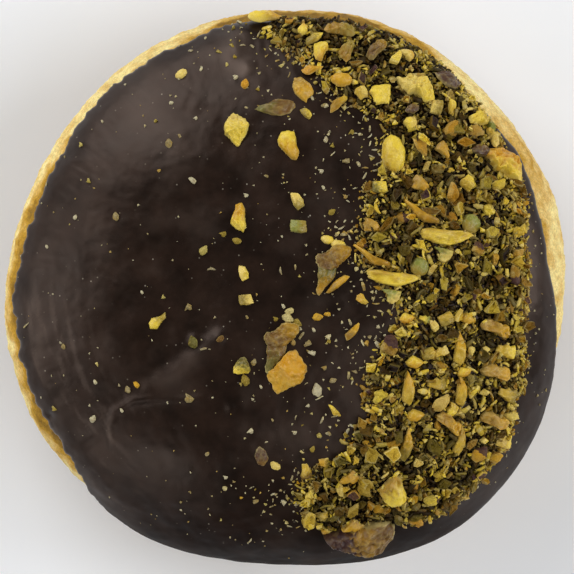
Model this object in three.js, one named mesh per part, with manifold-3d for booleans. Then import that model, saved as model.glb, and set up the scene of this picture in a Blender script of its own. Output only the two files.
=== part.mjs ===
// A pistachio chocolate doughnut: a round ball of fried yeast dough with no hole, dipped top down in dark chocolate,
// with chopped pistachios strewn over its right-hand side. Millimetres, +Z up. The origin is the middle of the flat
// foot that it rests on, and -Y is the side nearest to someone who looks down on it.
import * as THREE from "three";
import { ConvexGeometry } from "three/addons/geometries/ConvexGeometry.js";
import { mergeVertices } from "three/addons/utils/BufferGeometryUtils.js";
import Module from "manifold-3d";

// Driving dimensions of the dough
const beltRadius = 47.2; // at the pale belt, which is the widest level
const beltHeight = 20; // of the belt above the table
const crownRise = 22; // from the belt to the top of the dough
const footDrop = 21; // from the belt to the pole that the flat foot cuts off
const boxiness = 2.3; // of the side profile: 2 is an ellipse, and more is fuller in the shoulders

// The outline seen from above: each row adds waves round the rim, with one of its peaks at a compass angle
const outlineLobes = [
  { waves: 2, swell: 0.55, peak: 19 },
  { waves: 3, swell: 0.8, peak: 80 },
  { waves: 4, swell: 0.4, peak: 35 },
  { waves: 5, swell: 0.2, peak: 13 },
  { waves: 6, swell: 0.25, peak: 5 },
];

// Broad swells and hollows of the top, each a soft round bump at x, y
const swells = [
  { x: -21, y: 20, rise: 0.7, spread: 13 },
  { x: -15, y: -3, rise: -1.0, spread: 9 },
  { x: -9, y: -27, rise: 0.9, spread: 11 },
  { x: 24, y: 8, rise: 0.8, spread: 14 },
  { x: 6, y: 20, rise: -0.6, spread: 9 },
];

// The chocolate coat
const coatThickness = 1.2;
const coatBead = 0.35; // how much thicker the coat is where it gathered along its edge
const coatBeadWidth = 5; // degrees of latitude
const lipShare = 0.62; // of the bead's width, over which the edge rounds off
const gap = 0.3; // between pieces that touch

// Height of the coat's edge above the table at compass angles, with 0 at the right and 90 at the back
const coatEdge = [
  { at: -18, height: 25.5 },
  { at: 0, height: 30.2 },
  { at: 16, height: 31.2 },
  { at: 26, height: 29.2 },
  { at: 40, height: 30.2 },
  { at: 58, height: 28.9 },
  { at: 92, height: 29 },
  { at: 103, height: 28.2 },
  { at: 116, height: 29.7 },
  { at: 137, height: 28.8 },
  { at: 160, height: 30 },
  { at: 182, height: 29.1 },
  { at: 205, height: 29 },
  { at: 217, height: 29.7 },
  { at: 228, height: 25.5 },
  { at: 243, height: 20 },
  { at: 265, height: 17 },
  { at: 300, height: 17.5 },
  { at: 325, height: 19.5 },
];

// Where the nuts lie: between these two lines down the top, and no nearer than this to the coat's edge
const strewnLeft = [
  { y: 45, x: -8 },
  { y: 32, x: -7 },
  { y: 27, x: 7 },
  { y: 15, x: 11 },
  { y: 2, x: 11 },
  { y: -12, x: 13 },
  { y: -22, x: 11 },
  { y: -29, x: 7 },
  { y: -34, x: 0 },
  { y: -39, x: 3 },
  { y: -45, x: 10 },
];
const strewnRight = [
  { y: 45, x: 44 },
  { y: 25, x: 41 },
  { y: 0, x: 40.5 },
  { y: -12, x: 39 },
  { y: -28, x: 37 },
  { y: -34, x: 32 },
  { y: -45, x: 21 },
];
const strewnRadius = 44.5;

// The largest pieces of nut, each a piece of its own. spin turns one about the upright on the coat.
const largePieces = [
  { name: "kernel_half_front", form: "kernel", x: 12, y: -42.2, length: 12.6, width: 8.2, height: 5.2, spin: 8 },
  { name: "nib_toasted_middle", form: "nib", x: -0.1, y: -14, length: 7.4, width: 6, height: 4.4, spin: 40 },
  { name: "flake_tan_middle", form: "flake", x: -2.3, y: -8.9, length: 7.2, width: 4.2, height: 2.2, spin: 62 },
  { name: "flake_tan_upper", form: "flake", x: 7.4, y: 3.4, length: 8, width: 5, height: 2.2, spin: 66 },
  { name: "oval_yellow", form: "oval", x: 17.6, y: 22, length: 6.6, width: 4, height: 3, spin: 95 },
  { name: "nib_yellow_upper_left", form: "nib", x: -8.4, y: 26, length: 5.9, width: 4.6, height: 3.6, spin: 75 },
  { name: "nib_pale_upper_right", form: "nib", x: 21.4, y: 33.2, length: 6.6, width: 5.6, height: 4, spin: 150 },
  { name: "nib_toasted_right", form: "nib", x: 36.6, y: 20, length: 7.8, width: 5.8, height: 4.2, spin: 165 },
];

// Smaller pieces that stand out by themselves, stuck to the coat
const singlePieces = [
  { x: 0.1, y: 23.4, length: 5.2, width: 3.8, spin: 110 },
  { x: 3.1, y: 33.4, length: 4.8, width: 3.4, spin: 100 },
  { x: 9.2, y: 34.8, length: 3.8, width: 2.8, spin: 10 },
  { x: 5.6, y: 39.8, length: 3.8, width: 2.7, spin: 80 },
  { x: 15.5, y: 32.3, length: 3.5, width: 3.4, spin: 0 },
  { x: -5, y: 44.6, length: 6, width: 2.4, spin: 8 },
  { x: -2.1, y: 30.8, length: 7.2, width: 2.7, spin: 8 },
  { x: -8.3, y: 11.8, length: 5.2, width: 2.8, spin: 80 },
  { x: 1.6, y: 14.7, length: 3.3, width: 2.4, spin: 110 },
  { x: 1.8, y: 10.3, length: 2.9, width: 2.6, spin: 0 },
  { x: -7.3, y: 2.4, length: 3, width: 2.3, spin: 120 },
  { x: -7.2, y: -1.9, length: 2.9, width: 2.4, spin: 10 },
  { x: -8, y: -13.4, length: 3, width: 2.8, spin: 40 },
  { x: -22.2, y: -5.9, length: 3, width: 2.2, spin: 30 },
  { x: -18, y: 36.2, length: 2.5, width: 1.8, spin: 40 },
  { x: -4.4, y: -28.6, length: 3.2, width: 2.2, spin: 120 },
  { x: 17.8, y: -34.2, length: 5.2, width: 4.8, spin: 15 },
  { x: 10.8, y: -32.4, length: 4, width: 2.3, spin: 10 },
  { x: 8, y: -20.4, length: 2.8, width: 2, spin: 150 },
  { x: 17.6, y: -1, length: 3.8, width: 2.6, spin: 160 },
  { x: 18.8, y: 2, length: 9, width: 2, spin: 172 },
  { x: 26.8, y: 8.2, length: 9, width: 2, spin: 174 },
  { x: 22, y: 12.2, length: 6.6, width: 1.8, spin: 145 },
];

// Chopped nuts strewn by rule, from the largest down
const strewnCount = 150;
const largestStrewn = 4.2;
const smallestStrewn = 2;
const tallestChopped = 3;
const strayReach = 22; // how far left of the patch strays lie
const strayShare = 0.05; // of the pieces that fall there, which stay
const nibSink = 0.3; // share of a nib's height below the coat's surface

// Mesh steps
const anglesRound = 64;
const rowsUp = 16;
const coatRows = 11;
const lipRows = [0.12, 0.35, 0.7, 1.1]; // shares of the bead's width

const upright = new THREE.Vector3(0, 0, 1);
const radians = (degrees) => THREE.MathUtils.degToRad(degrees);

// Repeatable random numbers from 0 to 1
function seededRandom(seed) {
  let state = seed;
  return () => {
    state = (state + 0x6d2b79f5) | 0;
    let mixed = Math.imul(state ^ (state >>> 15), 1 | state);
    mixed = (mixed + Math.imul(mixed ^ (mixed >>> 7), 61 | mixed)) ^ mixed;
    return ((mixed ^ (mixed >>> 14)) >>> 0) / 4294967296;
  };
}

function outlineRadius(angle) {
  const swell = outlineLobes.map((lobe) => lobe.swell * Math.cos(lobe.waves * (angle - radians(lobe.peak))));
  return beltRadius + swell.reduce((sum, part) => sum + part, 0);
}

// A smooth closed curve of heights through the named angles
const edgeTurns = [-360, 0, 360].flatMap((turn) => coatEdge.map((row) => ({ at: row.at + turn, height: row.height })));
const edgeCurve = new THREE.CubicInterpolant(
  edgeTurns.map((row) => row.at),
  edgeTurns.map((row) => row.height),
  1,
  [0],
);

function coatEdgeHeight(angle) {
  return edgeCurve.evaluate(THREE.MathUtils.euclideanModulo(THREE.MathUtils.radToDeg(angle), 360))[0];
}

function latitudeOfHeight(height) {
  const rise = height - beltHeight;
  const share = Math.abs(rise) / (rise < 0 ? footDrop : crownRise);
  return Math.sign(rise) * Math.asin(Math.min(1, share) ** (boxiness / 2));
}

// A point of the dough's surface at a compass angle and a latitude, lifted off it along its normal
function doughPoint(angle, latitude, lift = 0) {
  const radius = outlineRadius(angle);
  const rise = latitude < 0 ? footDrop : crownRise;
  const outward = Math.abs(Math.cos(latitude)) ** (2 / boxiness);
  const upward = Math.sign(latitude) * Math.abs(Math.sin(latitude)) ** (2 / boxiness);
  const slope = new THREE.Vector2(
    outward ** (boxiness - 1) / radius,
    (Math.sign(upward) * Math.abs(upward) ** (boxiness - 1)) / rise,
  ).normalize();
  const flatX = radius * outward * Math.cos(angle);
  const flatY = radius * outward * Math.sin(angle);
  const bumps = swells.map((s) => s.rise * Math.exp(-((flatX - s.x) ** 2 + (flatY - s.y) ** 2) / s.spread ** 2));
  const relief = Math.max(0, upward) * bumps.reduce((sum, part) => sum + part, 0);
  const away = lift + relief;
  return new THREE.Vector3(
    flatX + away * slope.x * Math.cos(angle),
    flatY + away * slope.x * Math.sin(angle),
    Math.max(0, beltHeight + rise * upward + away * slope.y),
  );
}

// A closed mesh from rings of points, each ring with anglesRound points, and a point at each end
function skinOf(bottom, rings, top) {
  const points = [bottom, ...rings.flat(), top];
  const last = points.length - 1;
  const at = (ring, step) => 1 + ring * anglesRound + (step % anglesRound);
  const faces = [];
  for (let step = 0; step < anglesRound; step++) {
    faces.push(0, at(0, step + 1), at(0, step));
    for (let ring = 0; ring < rings.length - 1; ring++) {
      faces.push(at(ring, step), at(ring, step + 1), at(ring + 1, step + 1));
      faces.push(at(ring, step), at(ring + 1, step + 1), at(ring + 1, step));
    }
    faces.push(at(rings.length - 1, step), at(rings.length - 1, step + 1), last);
  }
  return new THREE.BufferGeometry().setFromPoints(points).setIndex(faces);
}

const roundTheRim = Array.from({ length: anglesRound }, (_, step) => (step / anglesRound) * 2 * Math.PI);
const footLatitude = latitudeOfHeight(0);

// The whole ball of dough, or that ball grown by lift
function doughGeometry(lift = 0) {
  const rings = Array.from({ length: rowsUp }, (_, row) => {
    const latitude = THREE.MathUtils.lerp(footLatitude, Math.PI / 2, row / rowsUp);
    return roundTheRim.map((angle) => doughPoint(angle, latitude, lift));
  });
  rings[0].forEach((point) => point.setZ(0));
  const crown = doughPoint(0, Math.PI / 2, lift);
  return skinOf(new THREE.Vector3(0, 0, 0), rings, crown);
}

// How far the coat's surface lies off the dough: a round lip at its edge, a bead behind it, and then an even coat
function coatDepth(angle, latitude) {
  const edge = latitudeOfHeight(coatEdgeHeight(angle));
  const fromEdge = (latitude - edge) / radians(coatBeadWidth);
  const bead = coatBead * Math.exp(-((fromEdge - 1) ** 2));
  const fromLip = Math.min(1, fromEdge / lipShare);
  const lip = Math.sqrt(Math.max(0, 1 - (1 - fromLip) ** 2));
  return gap + (coatThickness + bead) * lip;
}

// The coat's outer surface grown by extra, and closed through the inside of the dough. Its lowest ring lies there,
// and the next ones are close together round the lip, as shares of the bead's width above the edge.
function coatDome(extra = 0) {
  const beadTurn = radians(coatBeadWidth);
  const lastLip = lipRows[lipRows.length - 1];
  const ringAt = (latitudeAbove, liftAt) =>
    roundTheRim.map((angle) => {
      const latitude = latitudeAbove(latitudeOfHeight(coatEdgeHeight(angle)));
      return doughPoint(angle, latitude, liftAt(angle, latitude));
    });
  const outer = (angle, latitude) => coatDepth(angle, latitude) + extra;
  const rings = [ringAt((edge) => edge, () => -coatThickness)];
  for (const row of lipRows) rings.push(ringAt((edge) => edge + row * beadTurn, outer));
  for (let row = 1; row < coatRows; row++)
    rings.push(ringAt((edge) => THREE.MathUtils.lerp(edge + lastLip * beadTurn, Math.PI / 2, row / coatRows), outer));
  const crown = doughPoint(0, Math.PI / 2, gap + coatThickness + extra);
  return skinOf(new THREE.Vector3(0, 0, beltHeight / 2), rings, crown);
}

// The place on the coat's surface above x, y, and the direction away from it
function placeOnCoat(x, y) {
  const angle = Math.atan2(y, x);
  const reach = Math.hypot(x, y);
  let low = 0;
  let high = Math.PI / 2;
  for (let step = 0; step < 40; step++) {
    const middle = (low + high) / 2;
    const point = doughPoint(angle, middle, coatDepth(angle, middle));
    if (Math.hypot(point.x, point.y) > reach) low = middle;
    else high = middle;
  }
  const inside = doughPoint(angle, low, 0);
  const point = doughPoint(angle, low, coatDepth(angle, low));
  return { point, normal: point.clone().sub(inside).normalize() };
}

// x of a limit of the strewn patch at y
function limitAt(limit, y) {
  const next = limit.findIndex((row) => row.y < y);
  if (next < 1) return limit[next < 0 ? limit.length - 1 : 0].x;
  const from = limit[next - 1];
  const to = limit[next];
  return THREE.MathUtils.lerp(from.x, to.x, (from.y - y) / (from.y - to.y));
}

// A broken piece of nut: the hull of a box's eight corners, each pulled in at random, and of a point at each long end
function nibGeometry(length, width, height, random) {
  const pulled = (size) => 0.5 * size * (0.62 + 0.38 * random());
  const corners = [0, 1, 2, 3, 4, 5, 6, 7].map((corner) => {
    const isUpper = corner >= 4;
    const taper = isUpper ? 0.78 : 1;
    const x = (corner % 2 ? 1 : -1) * taper * pulled(length);
    const y = (corner % 4 < 2 ? 1 : -1) * taper * pulled(width);
    return new THREE.Vector3(x, y, (isUpper ? 1 : -1) * pulled(height));
  });
  for (const end of [-0.5, 0.5])
    corners.push(new THREE.Vector3(end * length, 0.2 * width * (random() - 0.5), 0.2 * end * height));
  return new ConvexGeometry(corners);
}

// A smooth oval slice of kernel
function ovalGeometry(length, width, height) {
  return new THREE.SphereGeometry(0.5, 16, 10).scale(length, width, height);
}

// Half a kernel: an oval with a pointed left end, flatter below
function kernelGeometry(length, width, height) {
  const egg = ovalGeometry(length, width, height);
  const place = egg.getAttribute("position");
  for (let i = 0; i < place.count; i++) {
    const along = place.getX(i) / (0.5 * length);
    const taper = 0.9 + 0.22 * along - 0.1 * along * along;
    const under = place.getZ(i) < 0 ? 0.7 : 1;
    place.setY(i, place.getY(i) * taper);
    place.setZ(i, place.getZ(i) * taper * under);
  }
  return egg;
}

// A curled chip of outer kernel with a ragged outline, waisted in the middle
function flakeGeometry(length, width, height, random) {
  const outline = [
    [-0.5, -0.2],
    [-0.28, -0.42],
    [0.05, -0.26],
    [0.3, -0.5],
    [0.5, -0.28],
    [0.46, 0.3],
    [0.22, 0.5],
    [-0.1, 0.24],
    [-0.36, 0.4],
  ].map(([x, y]) => new THREE.Vector2(x * length, y * width * (0.85 + 0.3 * random())));
  const chip = new THREE.ExtrudeGeometry(new THREE.Shape(outline), {
    depth: height * 0.55,
    bevelThickness: height * 0.2,
    bevelSize: 0.4,
    bevelOffset: -0.4,
    bevelSegments: 1,
  });
  chip.translate(0, 0, -height * 0.35);
  return chip;
}

const nutForms = { nib: nibGeometry, kernel: kernelGeometry, oval: ovalGeometry, flake: flakeGeometry };

// Turns a piece to lie on the coat at its place, sunk a little into it
function layOnCoat(geometry, x, y, spin, height, tilt = new THREE.Vector3()) {
  const { point, normal } = placeOnCoat(x, y);
  const leaned = new THREE.Quaternion().setFromUnitVectors(upright, normal.clone().add(tilt).normalize());
  const turned = leaned.multiply(new THREE.Quaternion().setFromAxisAngle(upright, radians(spin)));
  geometry.applyQuaternion(turned);
  const rise = point.addScaledVector(normal, height * (0.5 - nibSink));
  return geometry.translate(rise.x, rise.y, rise.z);
}

const wasm = await Module();
wasm.setup();

function solidOf(geometry) {
  const bare = geometry.clone();
  bare.deleteAttribute("normal");
  bare.deleteAttribute("uv");
  const merged = mergeVertices(bare, 1e-4);
  return new wasm.Manifold(
    new wasm.Mesh({
      numProp: 3,
      vertProperties: new Float32Array(merged.getAttribute("position").array),
      triVerts: new Uint32Array(merged.index.array),
    }),
  );
}

function geometryOf(solid) {
  const mesh = solid.getMesh();
  const points = new Float32Array(mesh.numVert * 3);
  for (let i = 0; i < mesh.numVert; i++)
    points.set(mesh.vertProperties.subarray(i * mesh.numProp, i * mesh.numProp + 3), i * 3);
  const geometry = new THREE.BufferGeometry();
  geometry.setAttribute("position", new THREE.BufferAttribute(points, 3));
  geometry.setIndex(new THREE.BufferAttribute(mesh.triVerts, 1));
  geometry.computeVertexNormals();
  return geometry;
}

// The places of the strewn nibs: random darts, kept where the patch has nuts and clear of what is there already
function strewnPlaces() {
  const random = seededRandom(20);
  const taken = [...largePieces, ...singlePieces].map(({ x, y, length }) => ({ x, y, reach: length / 2 }));
  const places = [];
  for (let darts = 0; places.length < strewnCount && darts < 40000; darts++) {
    const along = places.length / strewnCount;
    const length = THREE.MathUtils.lerp(largestStrewn, smallestStrewn, along ** 0.6);
    const x = (random() * 2 - 1) * strewnRadius;
    const y = (random() * 2 - 1) * strewnRadius;
    if (Math.hypot(x, y) > strewnRadius) continue;
    const fromLeft = x - limitAt(strewnLeft, y);
    const inPatch = fromLeft > 0 && x < limitAt(strewnRight, y);
    const isStray = fromLeft < 0 && fromLeft > -strayReach && random() < strayShare;
    if (!inPatch && !isStray) continue;
    const reach = length / 2;
    if (taken.some((other) => Math.hypot(other.x - x, other.y - y) < other.reach + reach)) continue;
    taken.push({ x, y, reach });
    places.push({ x, y, length, spin: random() * 360, lean: random() });
  }
  return places;
}

const choppedRandom = seededRandom(7);

function choppedPiece({ x, y, length, width, spin }, lean = 0) {
  const height = Math.min(tallestChopped, 0.75 * length, 1.2 * width);
  const tilt = new THREE.Vector3(choppedRandom() - 0.5, choppedRandom() - 0.5, 0).multiplyScalar(lean);
  return solidOf(layOnCoat(nibGeometry(length, width, height, choppedRandom), x, y, spin, height, tilt));
}

function strewnPiece(place) {
  const width = place.length * (0.55 + 0.4 * choppedRandom());
  return choppedPiece({ ...place, width }, place.lean);
}

// The body with the most volume, without any scrap that a cut left loose
function largestBody(solid) {
  return solid.decompose().reduce((largest, body) => (body.volume() > largest.volume() ? body : largest));
}

const grownDough = solidOf(doughGeometry(gap));
const coatAndNibs = wasm.Manifold.union([
  solidOf(coatDome()),
  ...singlePieces.map((piece) => choppedPiece(piece)),
  ...strewnPlaces().map(strewnPiece),
]);
const coat = largestBody(coatAndNibs.subtract(grownDough));
const coatClearance = solidOf(coatDome(gap));

const doughMaterial = new THREE.MeshStandardMaterial({ color: 0xd9a45a, roughness: 0.75, metalness: 0 });
const chocolateMaterial = new THREE.MeshStandardMaterial({ color: 0x30231d, roughness: 0.4, metalness: 0 });
const nutColours = {
  nib: 0xd2a83e,
  kernel: 0x8a6a3a,
  oval: 0xc4a92e,
  flake: 0x8f7440,
};

function named(name, geometry, material) {
  const mesh = new THREE.Mesh(geometry, material);
  mesh.name = name;
  return mesh;
}

function largePiece({ name, form, x, y, length, width, height, spin }, index) {
  const random = seededRandom(100 + index);
  const shape = layOnCoat(nutForms[form](length, width, height, random), x, y, spin, height);
  const clear = solidOf(shape).subtract(coatClearance).subtract(grownDough);
  const material = new THREE.MeshStandardMaterial({ color: nutColours[form], roughness: 0.6, metalness: 0 });
  return named(name, geometryOf(clear), material);
}

const doughnut = new THREE.Group();
doughnut.add(named("dough", doughGeometry(), doughMaterial));
doughnut.add(named("chocolate_coat", geometryOf(coat), chocolateMaterial));
doughnut.add(...largePieces.map(largePiece));

export default doughnut;
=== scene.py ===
# Pistachio chocolate doughnut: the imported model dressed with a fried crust, a satin coat and chopped nuts
import functools
import math
import random

import bmesh
import bpy
import numpy as np
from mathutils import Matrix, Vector, noise
from mathutils.bvhtree import BVHTree


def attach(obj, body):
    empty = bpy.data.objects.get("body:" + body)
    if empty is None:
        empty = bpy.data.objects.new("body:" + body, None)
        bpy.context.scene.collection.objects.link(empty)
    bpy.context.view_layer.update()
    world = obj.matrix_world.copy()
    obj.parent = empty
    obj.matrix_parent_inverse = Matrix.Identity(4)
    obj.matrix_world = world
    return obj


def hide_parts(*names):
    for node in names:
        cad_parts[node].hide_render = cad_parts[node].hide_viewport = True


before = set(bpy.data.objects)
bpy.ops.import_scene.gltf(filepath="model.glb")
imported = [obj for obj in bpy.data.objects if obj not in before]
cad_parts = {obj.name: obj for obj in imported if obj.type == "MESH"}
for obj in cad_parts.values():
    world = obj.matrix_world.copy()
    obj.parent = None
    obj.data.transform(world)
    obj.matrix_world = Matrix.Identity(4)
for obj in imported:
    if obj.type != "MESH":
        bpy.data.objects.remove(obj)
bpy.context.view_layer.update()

mm = 0.001  # shapes are worked out in millimetres and become metres in their meshes
print("frame loaded with", len(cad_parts), "nodes")


# Materials

def linear(colour):
    channels = [int(colour[i:i + 2], 16) / 255 for i in (1, 3, 5)]
    return [c / 12.92 if c <= 0.04045 else ((c + 0.055) / 1.055) ** 2.4 for c in channels] + [1.0]


def addNode(tree, kind, settings=None, inputs=None):
    # an input is a value, a node, whose first live output is taken, or a node with an output's identifier
    node = tree.nodes.new(kind)
    for name, value in (settings or {}).items():
        setattr(node, name, value)
    for key, value in (inputs or {}).items():
        socket = next((s for s in node.inputs if s.identifier == key), None) or node.inputs[key]
        if isinstance(value, bpy.types.Node):
            tree.links.new(next(s for s in value.outputs if s.enabled), socket)
        elif isinstance(value, tuple) and isinstance(value[0], bpy.types.Node):
            tree.links.new(next(s for s in value[0].outputs if s.identifier == value[1]), socket)
        else:
            socket.default_value = value
    return node


def newMaterial(name):
    # the new material, the way to add nodes to it, and its object coordinates
    material = bpy.data.materials.new(name)
    material.use_nodes = True
    material.node_tree.nodes.clear()
    add = functools.partial(addNode, material.node_tree)
    return material, add, (add("ShaderNodeTexCoord"), "Object")


def finishMaterial(add, inputs):
    add("ShaderNodeOutputMaterial", inputs={"Surface": add("ShaderNodeBsdfPrincipled", inputs=inputs)})


def perSize(size):
    return 1 / (size * mm)  # a noise scale that gives features of this many millimetres


def fillRamp(node, stops):
    ramp = node.color_ramp
    while len(ramp.elements) < len(stops):
        ramp.elements.new(1.0)
    for element, (at, colour) in zip(ramp.elements, stops):
        element.position = at
        element.color = linear(colour)


crustFinish = {
    "cream": "#f3df96",
    "pale": "#d8b264",
    "golden": "#bd9028",
    "brown": "#84621c",
    "levels": (0.0, 0.3, 0.65, 1.0),  # how browned each of the four colours is
    "sandSize": 0.4,
    "sandShades": (0.74, 1.12),
    "sandDepth": 0.14,
    "mottleSize": 2.4,
    "mottle": 0.2,
    "roughness": 0.7,
}


def makeFriedCrust(values):
    # yeast dough fried in oil: matte and a little translucent, pale where it floated above the oil, golden
    # brown where it lay in it, and darker golden at the back, partly from browning and partly a painted
    # shade
    material, add, place = newMaterial("friedYeastDough")
    browning = add("ShaderNodeAttribute", {"attribute_name": "browning"})
    mottle = add("ShaderNodeTexNoise", {}, {
        "Vector": place, "Scale": perSize(values["mottleSize"]), "Detail": 5.0, "Roughness": 0.65})
    spread = add("ShaderNodeMapRange", {}, {
        "Value": mottle, "From Min": 0.3, "From Max": 0.7,
        "To Min": -values["mottle"], "To Max": values["mottle"]})
    level = add("ShaderNodeMath", {"operation": "ADD", "use_clamp": True}, {
        "Value": (browning, "Fac"), "Value_001": spread})
    colours = add("ShaderNodeValToRGB", {}, {"Fac": level})
    fillRamp(colours, [
        (at, values[name]) for at, name in zip(values["levels"], ("cream", "pale", "golden", "brown"))])
    sand = add("ShaderNodeTexNoise", {}, {
        "Vector": place, "Scale": perSize(values["sandSize"]), "Detail": 3.0, "Roughness": 0.7})
    # painted shade in the pits: the sand noise that makes the bump also darkens the crust where the bump
    # sinks
    darkest, lightest = values["sandShades"]
    pitted = add("ShaderNodeMapRange", {}, {
        "Value": sand, "From Min": 0.34, "From Max": 0.62, "To Min": darkest, "To Max": lightest})
    shaded = add("ShaderNodeMix", {"data_type": "RGBA", "blend_type": "MULTIPLY"}, {
        "Factor_Float": 1.0, "A_Color": colours, "B_Color": pitted})
    bump = add("ShaderNodeBump", {}, {
        "Height": sand, "Strength": 0.7, "Distance": values["sandDepth"] * mm})
    finishMaterial(add, {
        "Base Color": shaded, "Roughness": values["roughness"], "Normal": bump, "Subsurface Weight": 0.2,
        "Subsurface Radius": (1.0, 0.6, 0.3), "Subsurface Scale": 1.2 * mm, "Specular IOR Level": 0.15})
    return material


chocolateFinish = {
    "dark": "#120a06",
    "lighter": "#21140d",
    # grey of the faint bloom and of the painted sheen and highlights
    "bloomAndSheenGrey": "#574a42",
    "speck": "#b5ab98",
    "tint": "#ffe2d2",  # of its reflections
    "grainSize": 0.28,
    "grainDepth": 0.03,
    "hazeSize": 6.0,
    "roughness": (0.3, 0.42),
    "lipDulling": 0.3,
    "dullHeights": (20, 31),  # fully dull below the first and not at all above the second
    "gloss": (0.01, 0.36),  # where the attribute shine is 0 and 1
    "speckSpacing": 1.3,
    "speckRadius": 0.13,
    "speckless": 0.55,  # the share of the places without a speck
    "speckStrength": 0.8,
}


def makeDarkChocolate(values):
    # dark couverture that set without a full shine: satin, with a faint bloom in clouds, painted sheen and
    # painted highlights in pale grey streaks, and with specks of nut dust
    material, add, place = newMaterial("darkCouverture")
    bloom = add("ShaderNodeAttribute", {"attribute_name": "bloom"})
    haze = add("ShaderNodeTexNoise", {}, {
        "Vector": place, "Scale": perSize(values["hazeSize"]), "Detail": 6.0, "Roughness": 0.62})
    grain = add("ShaderNodeTexNoise", {}, {
        "Vector": place, "Scale": perSize(values["grainSize"]), "Detail": 2.0, "Roughness": 0.5})
    hazy = add("ShaderNodeMapRange", {}, {"Value": haze, "From Min": 0.35, "From Max": 0.65})
    colour = add("ShaderNodeMix", {"data_type": "RGBA"}, {
        "Factor_Float": hazy, "A_Color": linear(values["dark"]), "B_Color": linear(values["lighter"])})
    # bloom, painted sheen and painted highlights mixed in as grey
    withBloomAndSheen = add("ShaderNodeMix", {"data_type": "RGBA"}, {
        "Factor_Float": (bloom, "Fac"), "A_Color": colour, "B_Color": linear(values["bloomAndSheenGrey"])})
    cells = add("ShaderNodeTexVoronoi", {}, {
        "Vector": place, "Scale": perSize(values["speckSpacing"])})
    edge = values["speckRadius"] / values["speckSpacing"]
    chances = add("ShaderNodeSeparateColor", {}, {"Color": (cells, "Color")})
    strength = add("ShaderNodeMapRange", {}, {
        "Value": (chances, "Red"), "From Min": values["speckless"], "From Max": 1.0,
        "To Min": 0.0, "To Max": values["speckStrength"]})
    dusty = add("ShaderNodeAttribute", {"attribute_name": "dusty"})
    settled = add("ShaderNodeMath", {"operation": "MULTIPLY"}, {
        "Value": strength, "Value_001": (dusty, "Fac")})
    specks = add("ShaderNodeMapRange", {}, {
        "Value": (cells, "Distance"), "From Min": 0.5 * edge, "From Max": 1.3 * edge,
        "To Min": settled, "To Max": 0.0})
    dusted = add("ShaderNodeMix", {"data_type": "RGBA"}, {
        "Factor_Float": specks, "A_Color": withBloomAndSheen, "B_Color": linear(values["speck"])})
    low, high = values["roughness"]
    roughness = add("ShaderNodeMapRange", {}, {
        "Value": haze, "From Min": 0.3, "From Max": 0.7, "To Min": low, "To Max": high})
    parts = add("ShaderNodeSeparateXYZ", {}, {"Vector": place})
    dullest, brightest = values["dullHeights"]
    lowDown = add("ShaderNodeMapRange", {}, {
        "Value": (parts, "Z"), "From Min": dullest * mm, "From Max": brightest * mm,
        "To Min": values["lipDulling"], "To Max": 0.0})
    dull = add("ShaderNodeMath", {"operation": "ADD"}, {"Value": roughness, "Value_001": lowDown})
    least, most = values["gloss"]
    shine = add("ShaderNodeAttribute", {"attribute_name": "shine"})
    gloss = add("ShaderNodeMapRange", {}, {"Value": (shine, "Fac"), "To Min": least, "To Max": most})
    bump = add("ShaderNodeBump", {}, {
        "Height": grain, "Strength": 0.25, "Distance": values["grainDepth"] * mm})
    finishMaterial(add, {
        "Base Color": dusted, "Roughness": dull, "Normal": bump, "IOR": 1.47, "Specular IOR Level": gloss,
        "Specular Tint": linear(values["tint"])})
    return material


# where each colour lies on the scale of the attributes tint and farTint
nutTints = {
    "green": 0.0,
    "olive": 0.1,
    "moss": 0.2,
    "yellow": 0.32,
    "bright": 0.44,
    "pale": 0.54,
    "tan": 0.63,
    "golden": 0.72,
    "amber": 0.78,
    "toasted": 0.85,
    "brown": 0.92,
    "skin": 1.0,
}
nutFinish = {
    "colours": {
        "green": "#84873a",
        "olive": "#5e5622",
        "moss": "#917a28",
        "yellow": "#c6a334",
        "bright": "#e8ca40",
        "pale": "#e0c566",
        "tan": "#a57e30",
        "golden": "#cb9b22",
        "amber": "#c98f20",
        "toasted": "#a0781e",
        "brown": "#6a4b22",
        "skin": "#513a2f",
    },
    # pale of the broken kernel, which also serves as a painted highlight along the edges
    "broken": "#e6d48c",
    "skin": "#4e3430",
    "toasted": "#976c24",
    # colour of the painted shade on the lower pieces of a pile
    "stain": "#1c130b",
    "drift": 0.03,
    "spotShare": 0.3,
    "mottleSize": 0.9,
    "grainSize": 0.26,
    "rimShare": 0.5,
    "gloss": 0.14,
    "roughness": 0.55,
    "grainDepth": 0.09,
    "speckle": (0.76, 1.14),
    "waxiness": 0.05,
}
kernelFinish = dict(
    nutFinish, gloss=0.3, roughness=0.34, skin="#3e2624", grainDepth=0.035, speckle=(0.88, 1.06),
    waxiness=0.06, mottleSize=1.3)
crumbColours = dict(nutFinish["colours"], yellow="#b0a054", bright="#c2b174", pale="#beb595", tan="#8c7a4e")
crumbFinish = dict(nutFinish, rimShare=0.3, colours=crumbColours)


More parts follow.
